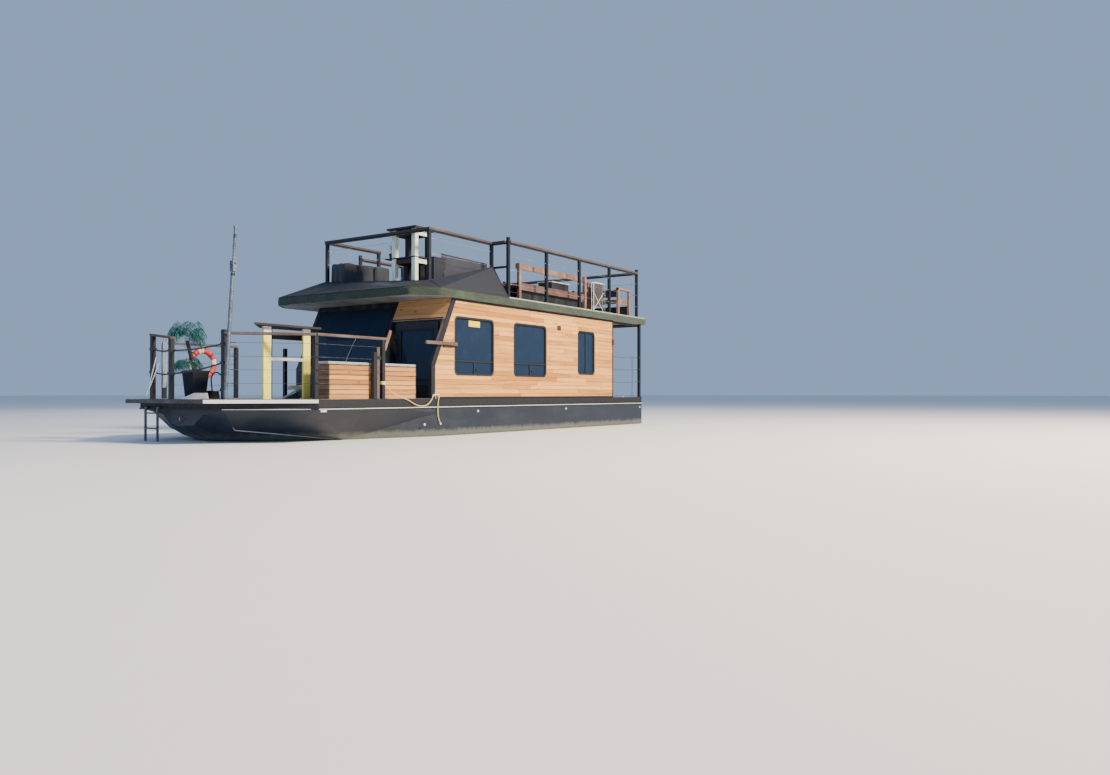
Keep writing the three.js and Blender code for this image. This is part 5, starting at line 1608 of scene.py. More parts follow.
class Cables:
    """Thin wires between posts, each with an eye at both ends and a turnbuckle."""

    def __init__(self, radius: float = 0.0028) -> None:
        """Starts without wires."""
        self.radius = radius
        self.wire = Shape()
        self.ends = Shape()

    def run(self, start: Point, end: Point) -> None:
        """Adds one wire and its end fittings."""
        a, b = Vector(start), Vector(end)
        along = (b - a).normalized()
        self.wire.tube([a, b], self.radius, 6)
        eye = [(0.010, 0.0), (0.010, 0.003), (0.005, 0.006), (0.005, 0.03), (0.0, 0.032)]
        for place, way in ((a, along), (b, -along)):
            self.ends.lathe(eye, place, way, 10)
        barrel = [(0.0, 0.0), (0.0045, 0.004), (0.006, 0.02), (0.006, 0.075), (0.0045, 0.09), (0.0, 0.094)]
        self.ends.lathe(barrel, a + along * 0.05, along, 10)

    def pieces(self, name: str, wire: Finish, ends: Finish) -> None:
        """Makes the two pieces; their kind goes into the name."""
        self.wire.piece(name.format("cables"), wire, slot="galvanised", sharp=60)
        self.ends.piece(name.format("turnbuckles"), ends, slot="galvanised", sharp=50)


@dataclass
class FlyDeck:
    """Rails, bar, helm console under its cover, box, windbreak, benches and the chair on the roof."""

    cap_width: float = 0.086
    cap_height: float = 0.044
    aft_posts: tuple[float, ...] = (5.38, 4.04, 2.74, 1.41, 0.05)
    cable_heights: tuple[float, ...] = (2.90, 3.18, 3.46)

    def build(self) -> None:
        """Makes everything above the roof."""
        self.rails()
        self.cables()
        self.bar()
        self.helm()
        self.windbreak()
        self.port_bench()
        self.stern_bench()
        self.chair()

    def rails(self) -> None:
        """Makes black posts with foot plates, and brown flat caps over a black under-rail; the front cap is dark as
        painted shade.
        """
        posts, caps, under = Shape(), Shape(), Shape()
        half, z = FLY_POST / 2, FLY_RAIL_Z
        feet = [(x, y, z - 0.02) for x, y in ((FLY_FRONT_X, LEAN_PORT_Y), (FLY_FRONT_X, LEAN_STARBOARD_Y),
                                              (LEAN_STARBOARD_AFT_X, LEAN_STARBOARD_Y), (FLY_STEP_X, LEAN_PORT_Y))]
        for sign in (1, -1):
            for x in self.aft_posts:
                tall = x in (self.aft_posts[0], self.aft_posts[-1])
                feet.append((x, sign * FLY_RAIL_Y, z + (0.085 if tall else -0.02)))
        for x, y, top in feet:
            posts.post(x, y, half, ROOF_Z, top)
            posts.box((x - half - 0.012, y - half - 0.004, ROOF_Z),
                      (x + half + 0.012, y + half + 0.004, ROOF_Z + 0.006))
        posts.piece("fly_posts", BLACK, slot="black_metal", bevel=0.005, stands_for="fly_rail_front fly_rail_aft")
        step = FLY_STEP_X - 0.01
        runs = [((FLY_FRONT_X, LEAN_PORT_Y + 0.04, z), (FLY_FRONT_X, LEAN_STARBOARD_Y - 0.04, z)),
                ((FLY_FRONT_X + 0.04, LEAN_PORT_Y, z + 0.002), (FLY_STEP_X - 0.04, LEAN_PORT_Y, z)),
                ((FLY_FRONT_X, LEAN_STARBOARD_Y, z), (LEAN_STARBOARD_AFT_X - 0.04, LEAN_STARBOARD_Y, z)),
                ((step, LEAN_PORT_Y, z - 0.002), (step, FLY_RAIL_Y - 0.04, z - 0.002)),
                ((0.05, FLY_RAIL_Y - 0.04, z - 0.002), (0.05, -FLY_RAIL_Y + 0.04, z - 0.002))]
        for sign in (1, -1):
            for a, b in ((5.35, 2.74), (2.74, 0.02)):
                runs.append(((a, sign * FLY_RAIL_Y, z), (b + 0.004, sign * FLY_RAIL_Y, z)))
        rng = random.Random(4)
        low = Vector((0, 0, -self.cap_height / 2 - 0.012))
        for i, (a, b) in enumerate(runs):
            # The first run, the front cap, takes the dark copy of the wood as painted shade.
            caps.mark, caps.tone = (0 if i else 1), rng.random()
            caps.beam(a, b, self.cap_width, self.cap_height)
            under.beam(Vector(a) + low, Vector(b) + low, self.cap_width * 0.62, 0.024)
        caps.piece("fly_rail_caps", FLY_WOOD, FLY_WOOD_SHADED, slot="grey_wood", bevel=0.006)
        under.piece("fly_rail_under", BLACK, slot="black_metal", bevel=0.003)
        middle = Shape().beam((step, LEAN_PORT_Y, 3.235), (step, FLY_RAIL_Y - 0.03, 3.235), 0.05, 0.04)
        middle.piece("fly_middle_rail", BLACK, slot="black_metal", bevel=0.004)

    def cables(self) -> None:
        """Makes three wires along each side aft, and two along the front part and across both ends."""
        cables = Cables()
        for sign in (1, -1):
            for z in self.cable_heights:
                for a, b in zip(self.aft_posts, self.aft_posts[1:]):
                    cables.run((a - 0.03, sign * FLY_RAIL_Y, z), (b + 0.03, sign * FLY_RAIL_Y, z))
        near = FLY_FRONT_X - 0.03
        for z in self.cable_heights[1:]:
            high = z + 0.1
            cables.run((near, LEAN_PORT_Y, high), (FLY_STEP_X + 0.03, LEAN_PORT_Y, high))
            cables.run((near, LEAN_STARBOARD_Y, high), (LEAN_STARBOARD_AFT_X + 0.03, LEAN_STARBOARD_Y, high))
            cables.run((FLY_FRONT_X, 0.60, high), (FLY_FRONT_X, LEAN_STARBOARD_Y + 0.03, high))
            cables.run((0.05, FLY_RAIL_Y - 0.03, z), (0.05, -FLY_RAIL_Y + 0.03, z))
        cables.pieces("fly_{}", ZINC, STAINLESS)

    @staticmethod
    def bar() -> None:
        """Makes mint front posts, with the aft posts and the starboard and cross beams dark as painted shade, a shelf,
        a dark top, and a small spiky plant.
        """
        bars = Shape()
        # Mark 1 is dark wood as painted shade: the aft posts, the starboard beams and the cross beams; mark 0 is the
        # mint paint.
        for x, mark in ((6.72, 1), (7.08, 0)):
            bars.mark = mark
            for y in (0.65, 1.15):
                bars.post(x, y, 0.045, ROOF_Z, 3.81)
        for low, high in ((3.18, 3.27), (3.70, 3.79)):
            for y, mark in ((0.65, 1), (1.15, 0)):
                bars.mark = mark
                bars.box((6.765, y - 0.02, low), (7.035, y + 0.02, high))
            bars.mark = 1
            for x in (6.72, 7.08):
                bars.box((x - 0.02, 0.695, low), (x + 0.02, 1.105, high))
        bars.piece("fly_bar_posts", MINT, DARK_WOOD, slot="mint_paint", bevel=0.005, stands_for="fly_bar_frame")
        shelf = Shape().box((6.66, 0.44, 3.275), (7.14, 1.20, 3.293))
        shelf.piece("fly_bar_shelf", DARK_WOOD, slot="grey_wood", bevel=0.003)
        top = Shape()
        rng = random.Random(2)
        for i in range(5):
            top.tone = rng.random()
            y = 0.522 + i * 0.1472
            top.box((6.562, y, 3.8105), (7.178, y + 0.144, 3.848))
        top.piece("fly_bar_boards", DARK_WOOD, slot="black_metal", bevel=0.003, stands_for="fly_bar_top")
        pot = [(0.05, 0.0), (0.062, 0.085), (0.068, 0.09), (0.068, 0.105), (0.058, 0.105), (0.055, 0.09)]
        plant = Shape().lathe(pot, (7.02, 0.52, 3.294), sides=20)
        plant.mark = 1
        centre = Vector((7.02, 0.52, 3.38))
        for around in circle(26):
            plant.tone = rng.random()
            turn = around + rng.uniform(-0.2, 0.2)
            reach, rise = rng.uniform(0.07, 0.17), rng.uniform(0.16, 0.34)
            way = Vector((math.cos(turn), math.sin(turn), 0))
            side = Vector((-way.y, way.x, 0)) * 0.007
            rows = []
            for t in (step / 5 for step in range(6)):
                at = centre + way * reach * t ** 1.4 + Vector((0, 0, rise * (t - 0.25 * t * t)))
                rows.append([at - side * (1 - t * 0.95), at + side * (1 - t * 0.95)])
            plant.sheet(rows)
        plant.piece("fly_bar_plant", PLASTIC, LEAF, slot="palm_leaf", sharp=60)

    @staticmethod
    def helm() -> None:
        """Makes the console's draped cover with folds and straps, and the black box beside it."""
        x0, x1, y0, y1 = 6.02, 7.28, -0.91, -0.48
        nx, ny, levels = 34, 14, 12
        rows = []
        for i in range(nx + 1):
            x = x0 + 0.02 + (x1 - x0 - 0.04) * i / nx
            top = 3.338 - 0.034 * (x - 6.06) + 0.003 * math.sin(9 * x)
            rows.append([(x, y0 + 0.03 + (y1 - y0 - 0.06) * s,
                          top - 0.016 * math.sin(7 * s + 2.2 * math.sin(4 * x)) ** 2)
                         for s in (k / ny for k in range(ny + 1))])
        edge = rows[0] + [row[-1] for row in rows[1:]] + rows[-1][-2::-1] + [row[0] for row in rows[-2:0:-1]]
        centre = Vector(((x0 + x1) / 2, (y0 + y1) / 2, 0))
        rings = [edge]
        for t in (step / levels for step in range(1, levels + 1)):
            ring = []
            for i, (x, y, z) in enumerate(edge):
                out = (Vector((x, y, 0)) - centre).normalized()
                fold = 0.015 * math.sin(2 * math.pi * i / len(edge) * 17 + 1.5 * math.sin(3 * t)) * t
                ring.append(Vector((x, y, z + (ROOF_Z + 0.05 - z) * t)) + out * (0.012 + 0.006 * t + fold - 0.006))
            rings.append(ring)
        cover = Shape().sheet(rows).skin(rings, caps=False)
        made = cover.piece("helm_cover", COVER, slot="dark_fabric", sharp=60, stands_for="console")
        made.modifiers.new("soft", "SUBSURF").levels = 1
        thicken(made, "cloth", CLOTH_THICKNESS)
        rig.sheet(made, flat=(1.8, 2.2), held="draped", rests_on=("roof",), area=2.9)
        straps = Shape()
        for top_x, low_x in ((6.93, 6.76), (6.48, 6.46)):
            straps.beam((top_x, y1 + 0.020, 3.30), (low_x, y1 + 0.034, 2.70), 0.05, 0.004, up=(0, 1, 0))
        straps.piece("helm_cover_straps", BLACK, slot="black_metal", bevel=0.001)
        low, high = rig.box("storage_box")
        box = Shape().box((low[0] + 0.01, low[1] + 0.01, low[2]), (high[0] - 0.01, high[1] - 0.01, high[2] - 0.08))
        box.box((low[0], low[1], high[2] - 0.076), (high[0], high[1], high[2] - 0.02))
        box.box((low[0] + 0.02, low[1] + 0.02, high[2] - 0.02), (high[0] - 0.02, high[1] - 0.02, high[2]))
        for i in range(4):
            x = low[0] + 0.06 + i * 0.088
            for y in (low[1], high[1] - 0.012):
                box.box((x, y, low[2] + 0.05), (x + 0.03, y + 0.012, high[2] - 0.12))
        box.piece("storage_box_shell", PLASTIC, slot="dark_plastic", bevel=0.006, stands_for="storage_box")

    @staticmethod
    def windbreak() -> None:
        """Makes navy canvas over a low seat: sloped sides, a welted crest and stitched edges."""
        inboard, crest = ((5.28, 0.90, 3.00), (6.00, 0.90, 3.00)), ((5.28, 1.43, 3.35), (6.68, 1.45, 3.368))
        lines = (((5.285, 0.905, ROOF_Z), (6.00, 0.905, ROOF_Z)), inboard, crest,
                 ((5.285, 1.56, ROOF_Z), (6.675, 1.56, ROOF_Z)))
        rings = []
        for t in (i / 22 for i in range(23)):
            corners = [Vector(a).lerp(Vector(b), t) for a, b in lines]
            sag = 0.022 * math.sin(math.pi * t) * (0.6 + 0.4 * math.sin(9 * t))
            ring = []
            for a, b, amount in zip(corners, corners[1:], (0.3, 1.0, 0.7)):
                for s in (step / 6 for step in range(6)):
                    at = a.lerp(b, s)
                    at.z -= sag * amount * math.sin(math.pi * s)
                    ring.append(at)
            rings.append([*ring, corners[3]])
        canvas = Shape().skin(rings, closed=False)
        made = canvas.piece("windbreak_canvas", NAVY, slot="navy_fabric", sharp=30, stands_for="windbreak")
        thicken(made, "cloth", CLOTH_THICKNESS)
        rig.sheet(made, flat=(2.0, 1.9), held="stretched", rests_on=("roof",), area=2.6)
        welt = Shape().tube(crest, 0.009, 8)
        for seam in (inboard, (crest[0], inboard[0]), (crest[1], inboard[1])):
            welt.tube(seam, 0.007, 8)
        welt.piece("windbreak_welts", NAVY, slot="navy_fabric", sharp=60)
        panel = Shape().box((6.62, 1.405, ROOF_Z), (6.945, 1.495, 3.262)).box((6.60, 1.40, 3.262), (6.95, 1.50, 3.28))
        panel.piece("windbreak_end_panel", MEMBRANE, slot="navy_fabric", bevel=0.004)

    @staticmethod
    def port_bench() -> None:
        """Makes a plank seat with a back rail, thin posts beside it, near-black panels under it as painted shade, and a
        chest on it.
        """
        rng = random.Random(14)
        wood = Shape()
        for x in (2.035, 4.605):
            wood.tone = rng.random()
            wood.box((x - 0.035, 1.71, ROOF_Z), (x + 0.035, 1.779, 3.43))
            wood.box((x - 0.035, 1.20, ROOF_Z), (x + 0.035, 1.27, 2.92))
        for x in (1.77, 1.87):
            wood.box((x - 0.025, 1.72, ROOF_Z), (x + 0.025, 1.77, 3.32))
        wood.box((1.745, 1.735, 3.10), (2.035, 1.755, 3.16))
        wood.tone = rng.random()
        wood.box((2.0, 1.672, 3.32), (4.64, 1.708, 3.43))
        for i in range(5):
            wood.tone = rng.random()
            y = 1.181 + i * 0.106
            wood.box((2.0, y, 2.985), (4.64, y + 0.098, 3.03))
        wood.box((2.0, 1.19, 2.92), (4.64, 1.23, 2.984))
        wood.mark, wood.tone = 1, 0.35
        wood.box((2.0, 1.712, 2.885), (4.64, 1.752, 3.032))
        wood.piece("bench_port_wood", UPRIGHT_WOOD, SEAT_WOOD, slot="grey_wood", bevel=0.004, stands_for="bench_port")
        # Near-black panels under the seat: painted shade.
        dark = Shape().box((2.08, 1.215, ROOF_Z + 0.02), (4.56, 1.235, 2.91))
        dark.box((2.08, 1.66, ROOF_Z + 0.02), (4.56, 1.678, 2.90))
        dark.piece("bench_port_shade_panels", PLASTIC, slot="grey_wood", bevel=0.003)
        chest = Shape().box((2.52, 1.25, 3.031), (3.20, 1.62, 3.20))
        chest.mark = 1
        chest.box((2.50, 1.23, 3.20), (3.22, 1.64, 3.222))
        chest.piece("bench_chest", PLASTIC, PALE_PLASTIC, slot="dark_plastic", bevel=0.006)

    @staticmethod
    def stern_bench() -> None:
        """Makes a seat with arm rails of reddish planks and a dark back."""
        rng = random.Random(15)
        wood = Shape()
        for x, top in ((0.25, 3.25), (0.79, 3.31)):
            for y in (0.67, 1.93):
                wood.tone = rng.random()
                wood.post(x, y, 0.03, ROOF_Z, top)
        for y in (0.67, 1.93):
            wood.tone = rng.random()
            wood.box((0.22, y - 0.045, 3.251), (0.82, y + 0.045, 3.30))
        for i in range(5):
            wood.tone = rng.random()
            x = 0.222 + i * 0.104
            wood.box((x, 0.70, 2.98), (x + 0.097, 1.90, 3.03))
        for y in (0.705, 1.865):
            wood.box((0.23, y, 2.91), (0.76, y + 0.035, 2.979))
        wood.piece("bench_stern_wood", UPRIGHT_WOOD, slot="grey_wood", bevel=0.004, stands_for="bench_stern")
        dark = Shape().box((0.765, 0.70, 3.08), (0.785, 1.90, 3.26))
        dark.box((0.24, 0.72, ROOF_Z + 0.03), (0.258, 1.88, 2.90))
        dark.piece("bench_stern_panels", DARK_WOOD, slot="grey_wood", bevel=0.003)

    @staticmethod
    def chair() -> None:
        """Makes a folded chair: pale tube frame, crossed legs and black mesh."""
        low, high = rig.box("folding_chair")
        y0, y1 = low[1] + 0.012, high[1] - 0.012
        middle = (y0 + y1) / 2
        near, far = low[0] + 0.03, high[0] - 0.03
        bottom, top = low[2] + 0.05, high[2] - 0.22
        tube = Shape()
        outline = rounded((low[0] + 0.012, low[2] + 0.012), (high[0] - 0.012, high[2] - 0.012), 0.06, 5)
        for y in (y0, y1):
            tube.tube([(x, y, z) for x, z in outline], 0.007, 10, loop=True)
        tube.tube([(near, middle, bottom), (far, middle, top)], 0.006, 10)
        tube.tube([(far, middle, bottom), (near, middle, top)], 0.006, 10)
        for z in (bottom, top):
            for x in (low[0] + 0.02, high[0] - 0.02):
                tube.tube([(x, y0, z), (x, y1, z)], 0.008, 8)
        tube.piece("folding_chair_frame", WHITE, slot="galvanised", sharp=60, stands_for="folding_chair")
        wide = high[0] - low[0] - 0.048
        mesh = Shape().sheet([[(low[0] + 0.024 + wide * k / 8, middle - 0.012 + 0.012 * math.sin(math.pi * k / 8),
                                low[2] + 0.16 + (high[2] - low[2] - 0.19) * (i / 12)) for k in range(9)]
                              for i in range(13)])
        cloth = mesh.piece("folding_chair_mesh", MESH, slot="dark_fabric", sharp=60)
        thicken(cloth, "cloth", CLOTH_THICKNESS)
        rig.sheet(cloth, flat=(0.54, 0.53), held="stretched", rests_on=())


@dataclass
class SeatBox:
    """One plank storage seat on the port side with its lid."""

    name: str
    low_x: float
    high_x: float
    low_y: float = 1.60
    high_y: float = 1.95
    top: float = 1.196
    planks: int = 7
    thick: float = 0.022

    def build(self) -> None:
        """Makes the box's boards with its floor and corner posts, and what belongs to the lid; the end boards are
        darker as painted shade.
        """
        rng = random.Random(round(self.low_x * 10))
        step = (self.top - DECK_Z) / self.planks
        x0, x1 = self.low_x + self.thick, self.high_x - self.thick
        y0, y1 = self.low_y + self.thick, self.high_y - self.thick
        shell = Shape()
        for i in range(self.planks):
            z0, z1 = DECK_Z + 0.002 + i * step, DECK_Z + (i + 1) * step - 0.004
            for near, far in ((self.low_y, y0), (y1, self.high_y)):
                shell.mark, shell.tone = 0, rng.random()
                shell.box((x0, near, z0), (x1, far, z1))
            # End boards take the darker copy of the pine as painted shade.
            for near, far in ((self.low_x, x0), (x1, self.high_x)):
                shell.mark, shell.tone = 1, rng.random()
                shell.box((near, self.low_y, z0), (far, self.high_y, z1))
        shell.mark = 2
        shell.box((x0, y0, DECK_Z + 0.003), (x1, y1, DECK_Z + 0.02))
        for x in (x0, x1 - 0.03):
            for y in (y0, y1 - 0.03):
                shell.box((x, y, DECK_Z + 0.02), (x + 0.03, y + 0.03, self.top - 0.02))
        shell.piece(f"seat_box_{self.name}_boards", SEAT_PINE, SEAT_PINE_SHADED, DARK_WOOD, slot="planks", bevel=0.003,
                    stands_for=f"seat_box_{self.name}")
        self.lid()

    def lid(self) -> None:
        """Makes the lid with its rounded rim, the hinges that move with it, and the catch on the box."""
        body = f"lid_{self.name}"
        z0, z1 = self.top + 0.007, self.top + 0.051
        middle_x, middle_y = (self.low_x + self.high_x) / 2, (self.low_y + self.high_y) / 2
        outline = rounded((self.low_x - 0.008, self.low_y - 0.010), (self.high_x + 0.008, self.high_y - 0.002), 0.02, 4)
        steps = [(0.006, z0), (0.0, z0 + 0.006), (0.0, z1 - 0.012), (0.004, z1 - 0.004), (0.012, z1)]
        board = Shape().skin([[(x + math.copysign(inset, middle_x - x), y + math.copysign(inset, middle_y - y), level)
                               for x, y in outline] for inset, level in steps])
        board.piece(f"seat_lid_{self.name}_board", LID, body=body, slot="pale_cover", sharp=30,
                    stands_for=f"seat_lid_{self.name}")
        hinge = Shape()
        y, z = self.high_y, self.top + 0.012
        for x in (self.low_x + 0.2, self.high_x - 0.2):
            hinge.tube([(x - 0.03, y + 0.014, z), (x + 0.03, y + 0.014, z)], 0.006, 10)
            hinge.box((x - 0.03, y - 0.0015, z), (x + 0.03, y + 0.010, self.top + 0.020))
        hinge.piece(f"seat_lid_{self.name}_hinges", STAINLESS, body=body, slot="galvanised", sharp=50)
        catch = Shape().box((middle_x - 0.02, self.low_y - 0.006, self.top - 0.06),
                            (middle_x + 0.02, self.low_y, self.top - 0.01))
        catch.piece(f"seat_box_{self.name}_catch", STAINLESS, slot="galvanised", bevel=0.002)


@dataclass
class Palm:
    """The potted palm: a ribbed pot, a leaning ringed trunk, a drooping crown and flowering low leaves."""

    centre: Pair = (10.62, -0.295)
    head: Point = (10.68, -0.435, 1.66)
    low_head: Point = (10.65, -0.45, 1.24)
    soil: float = 1.06
    rim: float = 1.117

    def build(self) -> None:
        """Makes the pot with soil, the trunk, the crown and the low leaves with their flowers."""
        x, y = self.centre
        low, high = DECK_Z, self.rim

        def half(z: float) -> float:
            """Gives half the pot's width at a height."""
            return 0.115 + (0.158 - 0.115 - 0.006) * ((z - low) / (high - low))

        steps = [(0.0, low), (0.0, low + 0.02), (0.0, high - 0.05), (-0.006, high - 0.045), (-0.006, high - 0.004),
                 (0.014, high), (0.020, self.soil)]
        pot = Shape().skin([square_turn(x, y, z, half(z) - inset) for inset, z in steps])
        for z in (low + 0.05 + i * 0.048 for i in range(8)):
            pot.tube(square_turn(x, y, z, half(z)), 0.005, 6, loop=True)
        pot.piece("planter_pot", MEMBRANE, slot="dark_plastic", sharp=40, stands_for="planter")
        foot, top = Vector((x, y, self.soil)), Vector((self.head[0], self.head[1], 1.60))
        reach = (top - foot).length
        profile = [(0.0, 0.0)]
        for i in range(28):
            level = reach * i / 28
            profile += [(0.040 - 0.0004 * i, level + 0.001), (0.033 - 0.0004 * i, level + 0.014)]
        trunk = Shape().lathe([*profile, (0.0, reach)], foot, (top - foot).normalized(), 14)
        trunk.piece("palm_trunk", DARK_WOOD, slot="palm_leaf", sharp=70)
        self.leaves("palm_fronds", self.head, 26, 0.31, (0.04, 0.34), 0.30, 77, "palm")
        self.leaves("low_leaves", self.low_head, 18, 0.26, (0.02, 0.16), 0.16, 78)
        self.flowers()

    @staticmethod
    def leaves(name: str, start: Point, count: int, reach: float, rises: Pair, fall: float, seed: int,
               stands_for: str = "") -> None:
        """Makes leaves that rise and arch over, with paired leaflets that droop.

        Args:
            name: The piece's name.
            start: The place they grow from.
            count: How many there are.
            reach: How far out the longest goes, in metres.
            rises: The least and the most that one rises.
            fall: How far a tip drops.
            seed: Fixes the lengths and turns.
            stands_for: The frame node that the piece takes the place of.
        """
        rng = random.Random(seed)
        shape = Shape()
        for leaf in range(count):
            turn = 2 * math.pi * leaf * 0.382 + rng.uniform(-0.15, 0.15)
            rise = rng.uniform(*rises)
            length = reach * rng.uniform(0.72, 1.0)
            way = Vector((math.cos(turn), math.sin(turn), 0))
            across = Vector((-way.y, way.x, 0))
            rib = []
            for t in (step / 12 for step in range(13)):
                lift = rise * math.sin(t * 2.1) - (fall - 0.4 * rise) * t ** 2.2
                rib.append(Vector(start) + way * length * math.sin(t * 1.45) + Vector((0, 0, lift)))
            shape.tone = 0.9
            shape.tube(rib, [0.005 * (1 - 0.8 * i / 12) + 0.0008 for i in range(13)], 5)
            for i in range(2, 13):
                at = rib[i]
                size = 0.13 * math.sin(math.pi * (0.15 + 0.8 * (i / 12))) + 0.02
                along = (at - rib[i - 1]).normalized()
                wide = along * 0.0058
                for side in (1, -1):
                    shape.tone = rng.random()
                    out = (across * side * 0.75 + along * 0.6).normalized()
                    tip = at + out * size * 0.75 + Vector((0, 0, -0.95 * size))
                    middle = at.lerp(tip, 0.5) + Vector((0, 0, 0.12 * size))
                    shape.sheet([[at - wide * 0.5, at + wide * 0.5], [middle - wide, middle + wide],
                                 [tip - wide * 0.1, tip + wide * 0.1]])
        thicken(shape.piece(name, LEAF, slot="palm_leaf", sharp=60, stands_for=stands_for), "leaf", 0.0008)

    def flowers(self) -> None:
        """Makes small five-petalled blossoms on the low leaves."""
        rng = random.Random(79)
        shape = Shape()
        petal = [(0.0, -0.010), (0.008, -0.002), (0.009, 0.004), (0.0, 0.011)]
        root = Vector(self.low_head)
        for i in range(9):
            turn = 0.4 + 0.62 * i
            away = rng.uniform(0.06, 0.15)
            place = root + Vector((math.cos(turn) * away, math.sin(turn) * away, rng.uniform(0.01, 0.05)))
            shape.tube([root, place], 0.002, 5)
            for angle in circle(5):
                out = Vector((math.cos(angle), math.sin(angle), 0.35)) * 0.016
                shape.lathe(petal, place + out, out.normalized(), 8)
        shape.piece("low_flowers", BLOSSOM, slot="palm_leaf", sharp=60)


@dataclass
class Lifebuoy:
    """The red and white ring on the starboard rail with its grab line."""

    centre: Point = (9.38, -1.93, 1.29)
    radius: float = 0.235
    tube: float = 0.05
    turn_deg: float = 90.0

    def spot(self, around: float, out: float, depth: float) -> Vector:
        """Gives a point by its angle round the ring, its distance from the middle and its place along the axis."""
        local = Vector((depth, math.sin(around) * out, math.cos(around) * out))
        return Vector(self.centre) + Matrix.Rotation(math.radians(self.turn_deg), 3, "Z") @ local

    def band(self, around: float, wide: float, deep: float, count: int) -> list[Vector]:
        """Gives a turn round the ring's tube at an angle, with its two half sizes."""
        return [self.spot(around, self.radius + math.cos(t) * wide, math.sin(t) * deep) for t in circle(count)]

    def build(self) -> None:
        """Makes the ring in four red and four white parts, the grab line and its lashing."""
        ring = Shape()
        parts = 64
        for i in range(parts):
            ring.mark = 1 if (i + 4) % 16 < 4 else 0
            ring.skin([self.band(2 * math.pi * at / parts, self.tube * 0.95, self.tube * 0.86, 18)
                       for at in (i, i + 1)], caps=False)
        ring.piece("lifebuoy_ring", RED_FOAM, WHITE_FOAM, slot="life_red", sharp=60, stands_for="lifebuoy")
        line = Shape().tube([self.spot(t + math.pi / 4, self.radius + self.tube * 0.99 - 0.006
                                       + 0.010 * abs(math.sin(2 * t)), 0.0) for t in circle(96)], 0.005, 8, loop=True)
        for part in range(4):
            for shift in (-0.03, 0.0, 0.03):
                around = math.pi / 4 + part * math.pi / 2 + shift
                line.tube(self.band(around, self.tube * 0.99, self.tube * 0.92, 20), 0.003, 6, loop=True)
        line.piece("lifebuoy_line", BLACK_ROPE, slot="life_red", sharp=60)
        lanyard = Shape()
        drop = [(-1.955, 1.57), (-1.975, 1.61), (-1.977, 1.655), (-1.988, 1.667), (-2.034, 1.667), (-2.043, 1.655),
                (-2.043, 1.632)]
        for x in (9.376, 9.384):
            lanyard.tube([(x, y, z) for y, z in drop], 0.0038, 8)
        lanyard.piece("lifebuoy_lanyard", BLACK_ROPE, slot="life_red", sharp=60)


